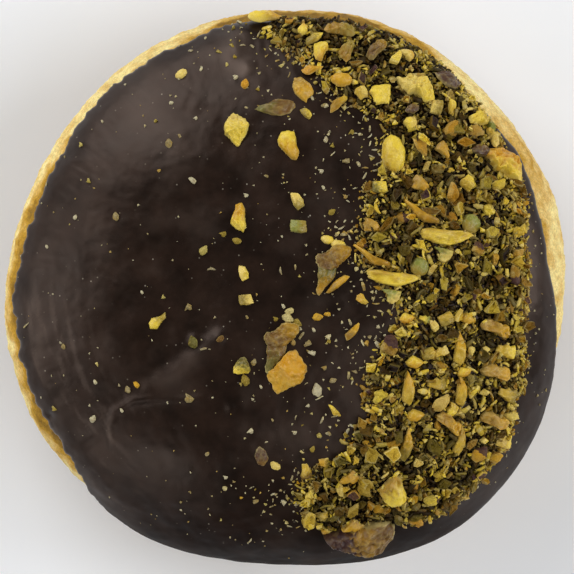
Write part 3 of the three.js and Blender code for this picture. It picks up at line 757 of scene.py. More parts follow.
outlines = {
    "block": [
        (-1.6, 1.1), (-0.9, 1.7), (1.6, 1.9), (1.8, 0.2), (1.4, -1.7), (0.4, -1.5), (-0.9, -1.9),
        (-1.3, -0.4), (-1.8, 0.4)],
    "chunk": [
        (-0.5, 2.8), (0.5, 2.4), (1.5, 1.7), (2.1, 0.8), (1.8, -0.5), (1.2, -1.5), (0.6, -2.7), (0, -2.8),
        (-1.2, -1.5), (-2.0, -0.7), (-2.0, 0.6), (-1.3, 2.0)],
    "kidney": [
        (-1.2, 2.3), (0, 2.5), (1.0, 2.3), (1.3, 1.4), (1.4, 0.1), (1.8, -1.0), (1.8, -2.0), (1.3, -2.5),
        (0.6, -2.4), (-0.4, -1.4), (-1.6, -0.1), (-1.8, 0.7), (-1.5, 1.8)],
    "slab": [
        (-1.5, 2.1), (-0.4, 2.3), (0.6, 1.5), (1.4, 0.6), (1.9, -0.4), (1.7, -1.1), (0.8, -1.7),
        (0.6, -2.4), (-0.4, -1.7), (-1.3, -0.8), (-1.7, 0.4)],
    "bean": [
        (-1.8, 0.4), (-1.2, 1.0), (0.1, 1.2), (1.3, 1.0), (1.9, 0.2), (1.5, -0.7), (0.5, -1.2),
        (-0.6, -1.1), (-1.6, -0.3)],
    "drop": [
        (-1.1, 1.6), (0.1, 2.0), (1.1, 1.4), (1.3, 0.6), (0.5, -0.5), (0.1, -1.9), (-1.0, -1.5),
        (-1.3, 0)],
    "leaf": [
        (-3.5, -0.3), (-2.4, 0.3), (-1.0, 0.7), (0.1, 1.4), (2.2, 1.4), (3.3, 1.2), (3.5, 0.1),
        (2.6, -1.0), (1.0, -1.4), (-0.3, -1.3), (-2.0, -0.7)],
    "strip": [
        (-2.6, 0.4), (-1.3, 1.1), (0.6, 1.1), (2.7, 0.8), (2.1, 0), (0.6, -0.3), (-0.8, -1.1),
        (-1.8, -0.8), (-2.3, -0.3)],
    "wedge": [
        (-1.4, -0.5), (-1.0, 0.4), (0.3, 1.0), (1.4, 1.6), (1.2, 0.6), (0.3, -0.3), (-0.3, -0.9),
        (-1.4, -1.6)],
    "tooth": [
        (-0.6, 2.2), (0.6, 2.5), (1.1, 1.3), (1.1, -0.3), (1.4, -1.6), (0.8, -2.5), (-0.5, -1.9),
        (-1.4, -1.0), (-1.0, 0.3), (-0.5, 1.3)],
    "pip": [(-1.2, 1.5), (0.1, 1.4), (1.0, 0.3), (1.2, -0.7), (0.1, -1.5), (-0.6, -0.7), (-1.0, 0.4)],
    "square": [(-1.4, 1.2), (1.3, 1.0), (1.5, -1.0), (0.2, -1.2), (-1.4, -0.9), (-1.5, 0.2)],
    "tailed": [
        (-1.4, -0.3), (-0.8, 0.6), (0.8, 1.0), (1.4, 1.3), (1.6, 1.9), (1.6, 0.6), (0.8, -0.3),
        (0.2, -1.3), (-1.1, -1.4)],
    "scale": [(-0.9, 1.3), (-0.3, 1.9), (0.7, 1.0), (1.2, -0.3), (0.4, -1.7), (-0.6, -1.3), (-1.2, 0)],
    "fan": [(-0.8, 1.6), (0, 1.3), (1.1, 0.3), (1.8, -1.7), (0, -1.1), (-1.6, -0.7), (-1.4, 0.5)],
    "crescent": [
        (-4.9, 1.1), (-2.7, 1.5), (-0.6, 1.1), (1.5, 1.1), (3.6, 0.9), (4.9, 0.3), (3.6, -0.4),
        (1.9, -1.1), (0.5, -1.5), (-1.9, -1.1), (-4.4, -0.2), (-4.8, 0.4)],
    "taper": [
        (-4.2, 3.0), (-3.0, 2.5), (-1.7, 1.1), (0, 0.2), (1.7, -0.8), (2.9, -1.1), (2.7, -1.8),
        (1.3, -1.7), (0, -1.5), (-1.1, -0.7), (-2.1, 0.7), (-3.4, 2.0)],
    "shard": [(-1.8, 1.1), (-0.1, 0.8), (1.7, 0.3), (1.2, -1.1), (-0.1, -1.7), (-1.0, -1.1), (-0.7, 0)],
    "boat": [
        (-1.4, -0.1), (-0.8, 0.7), (-0.3, 1.0), (1.0, 0.3), (1.4, -0.1), (0.7, -0.7), (0.1, -1.0),
        (-1.0, -0.7)],
    "stave": [
        (-0.1, 3.3), (0.3, 2.5), (0.7, 1.7), (1.0, 0.6), (1.0, -0.6), (0.8, -1.9), (0.2, -3.1),
        (-1.2, -2.2), (-1.0, -0.6), (-0.7, 1.3), (-0.4, 2.3)],
    "puff": [
        (-2.5, 0.7), (-1.8, 1.5), (-0.5, 1.6), (0.3, 1.0), (1.2, 0.6), (1.6, 0.8), (2.4, 0.3),
        (2.5, -1.2), (1.8, -1.5), (1.0, -1.2), (-0.1, -0.6), (-1.2, -0.3), (-2.2, 0)],
    "ragged": [
        (-1.6, 1.2), (-0.6, 1.0), (0.2, 1.4), (0.8, 0.8), (1.9, 1.1), (1.8, -0.1), (1.3, -1.4), (0, -1.1),
        (-1.1, -0.4), (-2.1, 0.1)],
    "halfKernel": [
        (-6.3, 0.5), (-4.8, 1.2), (-2.4, 2.0), (-0.6, 2.6), (1.1, 3.0), (2.7, 3.3), (3.8, 3.3),
        (5.1, 3.2), (5.9, 2.1), (6.2, 0.6), (5.9, -0.6), (4.8, -2.0), (3.8, -2.9), (2.4, -3.5),
        (1.4, -3.6), (0, -3.5), (-0.9, -3.0), (-1.8, -2.3), (-2.7, -1.5), (-4.4, -0.9), (-5.4, -0.5)],
    "bladeTop": [
        (-2.9, 0.1), (-2.5, 0.6), (-2.0, 0.4), (-1.1, 0.8), (-0.4, 1.4), (0, 1.9), (0.7, 2.1), (1.9, 2.0),
        (3.0, 1.7), (3.0, 1.2), (2.9, 0.4), (2.4, -0.2), (1.8, -0.8), (1.2, -1.3), (0.6, -1.9),
        (-0.6, -2.3), (-1.7, -2.1), (-2.5, -1.7), (-2.9, -0.8)],
    "bladeFoot": [
        (-1.3, 2.2), (-0.5, 2.5), (0.7, 2.4), (1.9, 1.8), (1.8, 0.7), (1.6, -0.1), (1.0, -0.8),
        (0.4, -1.4), (-0.1, -1.9), (-0.5, -2.5), (-1.2, -3.3), (-1.6, -3.1), (-1.8, -2.2), (-1.5, -1.5),
        (-1.4, -0.5), (-1.5, 0.4)],
    "sliver": [
        (-1.9, -1.4), (-1.2, -0.4), (-0.5, 0.5), (0.5, 1.3), (1.4, 1.7), (2.5, 1.6), (2.0, 0.9),
        (1.0, 0.1), (0.3, -0.5), (-0.5, -1.0), (-1.2, -1.4)],
    "toastedChunk": [
        (-3.4, -0.8), (-3.1, 0.1), (-2.5, 0.3), (-1.8, 1.1), (-1.2, 1.8), (-0.4, 2.7), (0.4, 3.4),
        (1.4, 3.7), (1.9, 3.4), (2.2, 2.6), (2.9, 1.8), (3.4, 1.0), (3.3, 0), (3.0, -1.0), (2.3, -1.9),
        (1.6, -2.3), (0.4, -2.7), (-0.3, -3.1), (-0.8, -3.5), (-1.6, -3.7), (-2.0, -3.4), (-2.3, -2.6),
        (-2.6, -1.9), (-3.1, -1.5)],
    "oliveChunk": [
        (-1.5, -1.1), (-1.4, -0.1), (-0.8, 1.0), (-0.2, 1.5), (0.4, 1.6), (0.8, 1.1), (1.2, 0.2),
        (1.4, -0.6), (1.1, -1.2), (0.1, -1.2), (-0.7, -1.3)],
    "cluster": [
        (-3.7, 1.3), (-2.9, 2.3), (-2.0, 2.9), (-1.0, 3.3), (-0.1, 3.0), (0.7, 2.9), (1.4, 2.1),
        (2.2, 1.1), (2.8, -0.2), (3.1, -1.3), (3.3, -2.4), (2.4, -2.8), (1.2, -2.6), (0.5, -2.3),
        (-0.5, -1.5), (-1.8, -1.3), (-2.6, -0.2)],
    "cube": [
        (-2.2, 0.6), (-1.3, 1.6), (-0.4, 2.5), (0.7, 3.0), (1.5, 2.2), (1.8, 1.0), (2.4, -0.4),
        (2.4, -1.3), (1.5, -2.1), (0.4, -2.5), (-0.7, -2.2), (-1.5, -1.6), (-2.1, -0.6)],
    "toastWedge": [
        (-2.1, -0.8), (-1.6, -0.1), (-0.7, 0.7), (0.1, 1.4), (0.9, 0.8), (1.3, 0.1), (2.2, -0.1),
        (1.3, -0.5), (0.3, -1.2), (-0.3, -0.7), (-1.0, -1.0), (-1.8, -1.1)],
    "twin": [
        (-3.6, 1.7), (-3.0, 1.4), (-1.9, 1.7), (-1.3, 2.7), (0, 2.8), (1.5, 2.6), (2.2, 1.8), (2.5, 0.4),
        (3.1, -1.2), (3.4, -2.6), (2.3, -2.9), (1.1, -2.8), (0.4, -1.9), (-0.7, -1.3), (-1.7, -1.7),
        (-2.5, -0.8), (-3.1, 0.4)],
    "egg": [(2.0 * math.cos(t), 3.3 * math.sin(t)) for t in np.linspace(0, math.tau, 24, endpoint=False)],
    "disc": [(1.4 * math.cos(t), 1.4 * math.sin(t)) for t in np.linspace(0, math.tau, 14, endpoint=False)],
}


def reachOf(outline, turns):
    # distance from the middle to the outline in each direction
    corners = np.array(outline, float)
    following = np.roll(corners, -1, axis=0)
    reach = np.zeros(len(turns))
    for i, turn in enumerate(turns):
        direction = np.array([math.cos(turn), math.sin(turn)])
        edges = following - corners
        cross = direction[0] * edges[:, 1] - direction[1] * edges[:, 0]
        cross[np.abs(cross) < 1e-9] = 1e-9
        far = (corners[:, 0] * edges[:, 1] - corners[:, 1] * edges[:, 0]) / cross
        along = (corners[:, 0] * direction[1] - corners[:, 1] * direction[0]) / cross
        hits = far[(far > 0) & (along >= -1e-6) & (along <= 1 + 1e-6)]
        reach[i] = hits.max() if len(hits) else 0.5
    return reach


carving = {
    "edgeWander": 0.07,
    "facets": 10,  # on a flat piece, and fewer the more it is domed
    "slope": (0.3, 1.0),
    "offset": (-0.1, 0.5),
    "level": (0.85, 1.1),
    "leastTop": 0.4,
    "underside": 0.3,
    "rough": 1.2,
    "fine": 0.5,
}


def carve(outline, height, rings, dome, crag, cragSize, shift):
    # a piece over an outline: flat or domed top with broken facets, ragged sides and a shallower underside
    values = carving
    share, angle, faces = hexDisc(rings)
    turns = np.arange(6 * rings) / (6 * rings) * math.tau
    halfX, halfY = np.abs(np.array(outline, float)).max(axis=0)
    reach = reachOf([(a / halfX, b / halfY) for a, b in outline], turns)
    ring = [Vector((4 * math.cos(t), 4 * math.sin(t), shift)) for t in turns]
    reach = reach * (1 + values["edgeWander"] * np.array([noise.fractal(p, 1, 2, 4) for p in ring]))
    stretch = np.interp(angle, np.append(turns, math.tau), np.append(reach, reach[0]))
    spread = np.sin(share * math.pi / 2) * 0.45 + share * 0.55
    x, y = halfX * stretch * spread * np.cos(angle), halfY * stretch * spread * np.sin(angle)
    wide = math.sqrt(halfX * halfY) * stretch
    flat = (1 - share ** 5) ** 0.6
    domed = np.sqrt(np.clip(1 - share ** 2, 0, 1))
    top = height * (flat * (1 - dome) + domed * dome)
    draw = random.Random(shift)
    middling = wide.mean()
    for _ in range(int(values["facets"] * (1 - dome))):
        turn = draw.uniform(0, math.tau)
        slope = draw.uniform(*values["slope"]) * height / middling
        across = x * math.cos(turn) + y * math.sin(turn) - draw.uniform(*values["offset"]) * middling
        facet = height * draw.uniform(*values["level"]) - slope * across
        top = np.minimum(top, np.maximum(facet, values["leastTop"] * top))
    places = np.column_stack([x, y, top])
    aside = Vector((shift, shift, 0))
    rough = np.array([noise.turbulence(Vector(p) / cragSize + aside, 3, True) for p in places])
    fine = fractalAt(places, 0.5 * cragSize, 3, shift)
    broken = values["rough"] * crag * (0.75 - rough) + values["fine"] * crag * fine
    top = top + broken * np.clip(1.15 - share ** 8, 0, 1)
    count = len(share)
    under = -values["underside"] * height * domed
    points = np.concatenate([np.column_stack([x, y, top]), np.column_stack([x, y, under])])
    faces = faces + [tuple(i + count for i in reversed(f)) for f in faces]
    step, following = ringOrder(6 * rings, False)
    upper = count - 6 * rings
    lower = upper + count
    faces += np.column_stack([upper + step, lower + step, lower + following, upper + following]).tolist()
    # pale rims at the outline and on the raised crags: partly broken kernel, partly a painted highlight
    rim = smoothstep(0.86, 0.97, share) * (0.6 + 0.8 * fine) + 0.7 * np.clip(0.5 - rough, 0, 1)
    return points, faces, np.clip(np.tile(rim, 2), 0, 1), np.tile(fine, 2)


def restOnCoat(points, x, y, spin, sink, lean=0.0):
    # turns a piece's points to lie on the coat at x, y
    hit, normal, _, _ = groundTree.ray_cast(Vector((x, y, 100)), Vector((0, 0, -1)))
    turned = Vector((0, 0, 1)).rotation_difference(normal).to_matrix()
    turn, tip = math.radians(spin), math.radians(lean)
    spun = np.array([[math.cos(turn), -math.sin(turn), 0], [math.sin(turn), math.cos(turn), 0], [0, 0, 1]])
    tipped = np.array([[1, 0, 0], [0, math.cos(tip), -math.sin(tip)], [0, math.sin(tip), math.cos(tip)]])
    return points @ tipped.T @ spun.T @ np.array(turned).T + np.array(hit - normal * sink)


# middling pieces: outline, x, y, scale, height, spin, tint, tint of the far end, way to that end, dome, crag
singles = [
    # the kidney turns bright yellow towards its top edge, a painted highlight where the light falls
    ("kidney", 0.2, 23.4, 1.0, 1.7, 0, "golden", "bright", 90, 0.8, 0.15),
    ("slab", 2.6, 32.8, 1.0, 1.5, 0, "golden", "tan", 90, 0.4, 0.35),
    ("bean", 8.9, 34.0, 1.0, 1.4, 0, "golden", "golden", 0, 0.9, 0.12),
    ("drop", 5.6, 38.7, 1.0, 1.5, 0, "bright", "golden", -60, 0.7, 0.2),
    ("wedge", 8.7, 30.4, 1.1, 1.3, 0, "toasted", "yellow", 40, 0.6, 0.2),
    ("pip", 3.2, 28.7, 0.75, 1.1, 20, "moss", "bright", 0, 0.5, 0.15),
    ("leaf", -2.1, 29.7, 1.0, 1.1, 0, "brown", "olive", 180, 0.5, 0.25),
    ("strip", -3.8, 44.3, 1.1, 1.3, 0, "bright", "golden", 0, 0.4, 0.2),
    ("block", 15.3, 31.6, 1.0, 1.7, 0, "bright", "bright", 0, 0.3, 0.25),
    ("block", 12.2, 31.9, 0.6, 1.2, 20, "yellow", "pale", 0, 0.3, 0.25),
    ("tooth", -8.0, 11.5, 1.0, 1.5, 0, "golden", "bright", -90, 0.6, 0.3),
    ("pip", 1.7, 14.1, 1.0, 1.2, 0, "pale", "moss", -80, 0.6, 0.15),
    ("square", 1.9, 10.0, 0.95, 1.0, 0, "green", "moss", 0, 0.2, 0.12),
    ("square", -6.8, -2.1, 0.8, 0.9, 10, "moss", "pale", 0, 0.2, 0.12),
    ("pip", -7.2, 2.2, 0.85, 1.1, -10, "pale", "bright", 0, 0.6, 0.15),
    ("bean", -17.6, 35.4, 0.62, 0.8, 40, "pale", "pale", 0, 0.8, 0.1),
    ("tailed", -21.6, -5.7, 0.95, 1.0, 0, "bright", "moss", 50, 0.7, 0.12),
    ("oliveChunk", -7.4, -13.1, 1.0, 1.5, 0, "olive", "bright", -110, 0.4, 0.2),
    ("scale", -4.2, -28.1, 1.0, 0.7, 0, "skin", "brown", -90, 0.6, 0.1),
    ("bean", -2.0, -29.6, 0.55, 0.7, -30, "pale", "pale", 0, 0.8, 0.1),
    ("wedge", 7.9, -20.4, 0.75, 1.0, 90, "yellow", "bright", 0, 0.5, 0.15),
    ("fan", 21.9, 16.8, 1.0, 1.2, 0, "tan", "golden", -60, 0.5, 0.15),
    ("fan", 14.0, 10.1, 0.92, 1.2, 12, "tan", "golden", -60, 0.5, 0.15),
    # the two crescents turn darker brown along their upper edge, a painted shade
    ("crescent", 26.2, 8.3, 1.0, 1.5, 0, "bright", "toasted", 90, 0.5, 0.4),
    ("crescent", 17.5, 1.4, 0.93, 1.4, -3, "bright", "toasted", 90, 0.5, 0.4),
    ("taper", 22.4, 12.0, 0.95, 1.3, 0, "toasted", "golden", 140, 0.9, 0.12),
    ("taper", 14.4, 4.9, 0.9, 1.2, 4, "toasted", "golden", 140, 0.9, 0.12),
    ("disc", 30.1, 10.4, 1.2, 1.0, 0, "green", "moss", 240, 0.6, 0.1),
    ("disc", 21.7, 3.4, 1.15, 1.0, 0, "green", "moss", 240, 0.6, 0.1),
    ("shard", 25.6, 5.6, 1.0, 1.1, 0, "green", "pale", -60, 0.3, 0.15),
    ("shard", 17.2, -1.1, 1.0, 1.1, 6, "green", "pale", -60, 0.3, 0.15),
    ("square", 15.3, 16.4, 0.85, 1.1, 5, "bright", "olive", 200, 0.3, 0.15),
    ("stave", 27.1, 29.9, 0.62, 1.4, 4, "bright", "yellow", -90, 0.6, 0.12),
    ("square", 24.6, 29.6, 0.9, 1.2, 80, "moss", "pale", 90, 0.4, 0.2),
    ("scale", 26.6, 34.2, 1.35, 0.9, 60, "skin", "skin", 0, 0.5, 0.4),
    ("ragged", 31.6, 27.6, 1.0, 1.4, 30, "bright", "yellow", 0, 0.4, 0.6),
    ("puff", 33.8, 24.6, 0.7, 1.3, -50, "yellow", "pale", 0, 0.4, 0.5),
    ("scale", 31.9, 22.6, 1.0, 0.7, 80, "skin", "brown", 0, 0.5, 0.2),
    ("boat", 20.9, -12.2, 1.15, 1.5, 0, "golden", "bright", 90, 0.9, 0.1),
    ("boat", 21.0, -20.9, 1.15, 1.5, 8, "golden", "yellow", 90, 0.9, 0.1),
    ("boat", 29.1, -13.9, 0.95, 1.3, 24, "golden", "bright", 90, 0.9, 0.1),
    ("boat", 29.6, -5.1, 1.0, 1.3, -14, "golden", "yellow", 90, 0.9, 0.1),
    ("stave", 28.3, -10.1, 0.95, 1.4, 0, "yellow", "golden", 90, 0.4, 0.3),
    ("stave", 19.8, -16.6, 0.95, 1.4, 2, "yellow", "golden", 90, 0.4, 0.3),
    ("stave", 19.6, -26.0, 0.95, 1.4, -8, "moss", "golden", 90, 0.4, 0.3),
    ("stave", 28.6, -17.0, 0.9, 1.4, 5, "yellow", "golden", 90, 0.4, 0.3),
    ("stave", 28.4, -25.2, 0.9, 1.4, -5, "yellow", "tan", 90, 0.4, 0.3),
    ("boat", 32.6, -10.2, 0.62, 0.8, 0, "pale", "pale", 0, 0.6, 0.1),
    ("boat", 32.6, -17.3, 0.62, 0.8, 4, "pale", "pale", 0, 0.6, 0.1),
    ("boat", 32.4, -25.3, 0.6, 0.8, -6, "pale", "bright", 0, 0.6, 0.1),
    ("drop", 30.3, -10.6, 0.5, 0.8, 0, "pale", "pale", 0, 0.6, 0.1),
    ("drop", 30.4, -17.5, 0.5, 0.8, 8, "pale", "bright", 0, 0.6, 0.1),
    ("boat", 19.6, -5.0, 0.95, 1.3, 10, "amber", "bright", 90, 0.9, 0.1),
    ("pip", 24.1, -6.3, 0.75, 1.0, 0, "pale", "pale", 0, 0.6, 0.12),
    ("ragged", 22.6, -5.2, 0.5, 0.9, 0, "bright", "green", 0, 0.4, 0.12),
    ("square", 26.1, -5.2, 0.9, 1.1, 30, "moss", "yellow", 90, 0.4, 0.2),
    ("square", 23.2, -10.9, 0.85, 1.1, 20, "moss", "yellow", 0, 0.4, 0.2),
    ("ragged", 25.3, -10.6, 0.7, 1.0, 40, "yellow", "pale", 0, 0.4, 0.2),
    ("ragged", 27.0, -20.3, 0.75, 1.0, 70, "bright", "yellow", 0, 0.4, 0.2),
    ("strip", 4.2, 35.6, 0.7, 1.0, 6, "amber", "golden", 0, 0.6, 0.15),
    ("tooth", 9.8, 38.9, 0.85, 1.5, -20, "moss", "toasted", -90, 0.5, 0.5),
    ("puff", 14.8, 38.9, 0.9, 1.6, 70, "brown", "toasted", 0, 0.5, 0.7),
    ("puff", 8.6, 42.3, 1.0, 1.5, 12, "toasted", "moss", 0, 0.5, 0.7),
    ("stave", 4.6, 41.0, 0.6, 1.1, -52, "moss", "bright", 90, 0.5, 0.2),
    ("boat", 2.6, 42.4, 0.85, 1.0, 80, "bright", "golden", 0, 0.6, 0.15),
    ("pip", 19.8, 38.2, 0.85, 1.2, 10, "pale", "golden", 0, 0.5, 0.2),
    ("block", 20.2, 26.8, 0.62, 1.2, 10, "bright", "pale", 0, 0.4, 0.2),
    ("scale", 20.6, 29.4, 0.75, 0.8, 100, "skin", "brown", 0, 0.5, 0.2),
    ("fan", 25.6, 22.6, 0.85, 1.2, -20, "tan", "golden", -60, 0.5, 0.2),
    ("block", 29.6, 16.9, 0.7, 1.3, 30, "yellow", "bright", 0, 0.4, 0.3),
    ("chunk", 33.0, 12.6, 0.45, 1.2, 60, "bright", "moss", 0, 0.4, 0.3),
    ("puff", 34.2, -6.9, 1.15, 1.7, 0, "tan", "golden", -10, 0.6, 0.6),
    ("puff", 34.2, -14.1, 1.12, 1.7, 5, "tan", "golden", -10, 0.6, 0.6),
    ("puff", 34.0, -22.0, 1.12, 1.7, -6, "tan", "golden", -10, 0.6, 0.6),
    ("puff", 26.5, -22.4, 1.05, 1.7, -20, "tan", "golden", -10, 0.6, 0.6),
    ("ragged", 36.0, -10.6, 1.0, 1.1, 0, "yellow", "bright", 0, 0.3, 0.2),
    ("ragged", 36.2, -17.8, 0.95, 1.1, -8, "yellow", "moss", 0, 0.3, 0.2),
    ("ragged", 36.2, -26.0, 1.0, 1.1, 6, "yellow", "bright", 0, 0.3, 0.2),
    ("ragged", 24.6, -16.0, 0.85, 1.1, 12, "yellow", "moss", 0, 0.3, 0.2),
    ("cube", 17.3, -33.6, 1.0, 2.6, 0, "bright", "toasted", 130, 0.6, 0.5),
    ("toastWedge", 10.6, -31.2, 1.0, 1.1, 0, "golden", "toasted", 60, 0.5, 0.12),
    ("toastWedge", 10.9, -39.2, 1.0, 1.1, 4, "golden", "toasted", 60, 0.5, 0.12),
    ("shard", 5.7, -37.6, 0.75, 0.9, 30, "moss", "yellow", 0, 0.3, 0.12),
    ("square", 6.6, -40.5, 0.6, 0.9, 20, "golden", "pale", 0, 0.4, 0.15),
    ("square", 6.2, -29.0, 0.6, 0.9, 12, "golden", "pale", 0, 0.4, 0.15),
    ("drop", 3.0, -30.6, 0.8, 1.0, 200, "yellow", "brown", 90, 0.4, 0.15),
    ("drop", 12.5, -2.0, 0.6, 0.9, 60, "yellow", "golden", 90, 0.4, 0.15),
    ("bean", 6.6, 7.8, 0.62, 0.9, -10, "pale", "bright", 0, 0.7, 0.1),
    ("bean", 8.4, 6.9, 0.75, 0.9, -14, "pale", "bright", 0, 0.7, 0.1),
    ("stave", 10.9, -7.3, 0.62, 0.8, -38, "toasted", "golden", 90, 0.6, 0.12),
]

# small bits, most of them on the bare chocolate: outline, x, y, length, spin, tint
smallBits = [
    ("shard", -8.6, 34.9, 1.3, 0, "pale"), ("boat", -7.0, 33.7, 2.0, 80, "amber"),
    ("shard", -15.2, 28.0, 1.0, 40, "pale"), ("boat", -19.6, 23.8, 1.8, 95, "tan"),
    ("pip", -17.8, 25.0, 1.0, 0, "tan"), ("pip", -15.6, 17.6, 1.8, 20, "pale"),
    ("boat", -28.4, 11.7, 1.7, 100, "tan"), ("shard", -10.6, 8.8, 1.6, 30, "moss"),
    ("bean", -8.3, 7.6, 1.7, -10, "moss"), ("boat", -13.8, 6.1, 2.0, 60, "yellow"),
    ("pip", -40.0, 6.7, 0.9, 0, "pale"), ("shard", -16.4, -3.4, 1.8, 80, "tan"),
    ("boat", -15.6, -9.1, 2.4, 105, "olive"), ("bean", -11.0, -8.6, 1.5, 40, "brown"),
    ("boat", -7.0, -15.3, 2.0, 110, "moss"), ("pip", -31.8, -15.8, 1.1, 0, "pale"),
    ("pip", -24.9, -16.2, 1.6, 15, "golden"), ("boat", -26.4, -17.0, 1.4, 110, "tan"),
    ("shard", -16.2, -18.3, 2.3, -20, "tan"), ("pip", -27.4, -20.5, 1.0, 0, "pale"),
    ("boat", -32.3, -21.9, 1.6, 60, "pale"), ("shard", -6.1, -23.8, 1.5, 60, "pale"),
    ("boat", -19.2, 30.6, 0.9, 20, "pale"), ("pip", -30.8, 27.6, 0.8, 0, "pale"),
    ("boat", -35.2, 11.6, 1.0, 70, "pale"), ("boat", -37.2, -9.9, 1.1, 100, "tan"),
    ("pip", -24.0, -0.9, 0.9, 0, "pale"), ("boat", -13.2, -27.6, 1.0, 50, "tan"),
    ("shard", -10.2, -31.5, 1.1, 0, "pale"), ("boat", -5.2, -35.6, 1.2, 30, "tan"),
    ("shard", -6.8, 15.2, 1.2, 0, "pale"), ("pip", -3.4, 18.3, 1.0, 40, "tan"),
    ("shard", 5.6, 19.2, 1.3, 10, "pale"), ("stave", 33.6, 26.4, 3.9, 14, "green"),
    ("pip", -0.6, -3.2, 1.1, 0, "pale"), ("bean", 0.4, -4.0, 1.7, 20, "bright"),
    ("shard", -1.9, -5.2, 1.3, 0, "moss"), ("boat", 0.2, -5.1, 2.3, -25, "bright"),
    ("boat", 1.7, -5.9, 1.9, -30, "moss"), ("boat", 5.1, -4.9, 2.0, 10, "golden"),
    ("pip", 6.7, -4.5, 1.5, 60, "golden"), ("ragged", 4.1, -10.9, 1.5, 0, "pale"),
    ("shard", 6.1, -13.3, 1.3, 30, "tan"), ("boat", 4.9, -17.0, 2.6, 100, "pale"),
    ("pip", -4.3, -16.5, 0.9, 0, "pale"), ("shard", -5.7, -18.5, 0.8, 0, "pale"),
    ("pip", 4.4, -7.1, 1.1, 0, "pale"), ("boat", 1.0, -9.1, 1.3, 100, "tan"),
    ("ragged", 3.4, -9.4, 1.6, 50, "tan"), ("shard", 6.8, -9.0, 1.2, 80, "moss"),
    ("pip", 2.2, -6.9, 0.9, 0, "pale"), ("boat", 7.6, -15.4, 1.4, 20, "tan"),
    ("shard", 3.4, -19.6, 1.0, 60, "pale"), ("pip", 7.0, -24.3, 1.1, 0, "tan"),
    ("shard", 1.2, -24.0, 1.2, 10, "pale"), ("boat", 4.2, -26.8, 1.3, 70, "moss"),
    ("pip", -2.4, -22.0, 0.8, 0, "tan"), ("shard", 9.6, 15.0, 1.2, 0, "tan"),
    ("boat", 7.4, 12.4, 1.5, 40, "moss"), ("pip", 6.0, 16.4, 1.0, 0, "pale"),
    ("ragged", 9.8, 20.8, 1.5, 20, "tan"), ("boat", 6.4, 24.4, 1.2, 90, "pale"),
    ("shard", 10.6, 25.6, 1.4, 70, "moss"), ("pip", -6.6, -5.0, 0.9, 0, "tan"),
    ("boat", -5.5, -12.4, 1.4, 70, "tan"), ("boat", -6.7, -15.7, 1.6, 55, "moss"),
]

# large pieces: node, then bits as outline, x, y, scale, height, spin, lean, sink, tint, tint of the far end,
# way to that end, dome, crag, and how far along that way the skin reaches, where there is any
largePieces = {
    "kernel_half_front": [
        ("halfKernel", 12.0, -41.6, 1.0, 3.2, 0, 0, 0.3, "toasted", "brown", 10, 0.75, 0.7, -0.15)],
    "nib_toasted_middle": [
        ("toastedChunk", -0.1, -14.0, 1.0, 2.8, 0, 0, 0.05, "amber", "golden", 250, 0.3, 0.24, None)],
    "flake_tan_middle": [
        ("bladeTop", -0.9, -7.9, 1.0, 1.2, 0, 10, -0.1, "brown", "toasted", 20, 0.6, 0.2, None),
        # the foot darkens to olive towards its lower end, a painted shade where it dips below the blade
        ("bladeFoot", -1.9, -11.0, 1.0, 0.9, 0, -4, 0.05, "brown", "olive", -90, 0.6, 0.15, None)],
    "flake_tan_upper": [
        ("bladeTop", 7.6, 5.0, 1.0, 1.2, 0, 10, -0.1, "brown", "toasted", 20, 0.6, 0.2, None),
        ("bladeFoot", 6.4, 1.6, 0.9, 0.9, 0, -4, 0.05, "olive", "toasted", -90, 0.6, 0.15, None),
        ("sliver", 8.1, 0.3, 0.95, 1.1, 0, 0, 0.0, "toasted", "golden", 45, 0.8, 0.1, None)],
    "oval_yellow": [
        ("egg", 17.6, 22.0, 1.0, 2.0, 4, 0, 0.1, "bright", "yellow", 200, 1.0, 0.12, None)],
    "nib_yellow_upper_left": [
        ("chunk", -8.4, 26.0, 1.0, 2.4, 0, 0, 0.05, "bright", "pale", 100, 0.4, 0.4, None)],
    "nib_pale_upper_right": [
        ("twin", 21.3, 33.0, 0.95, 2.7, 0, 0, 0.0, "pale", "bright", -40, 0.4, 0.8, None)],
    "nib_toasted_right": [
        ("cluster", 36.0, 20.2, 1.0, 2.6, 0, 0, 0.0, "amber", "bright", -100, 0.5, 0.7, None)],
}


# Where the nuts lie, as shares from 0 to 1 on the points of the ground

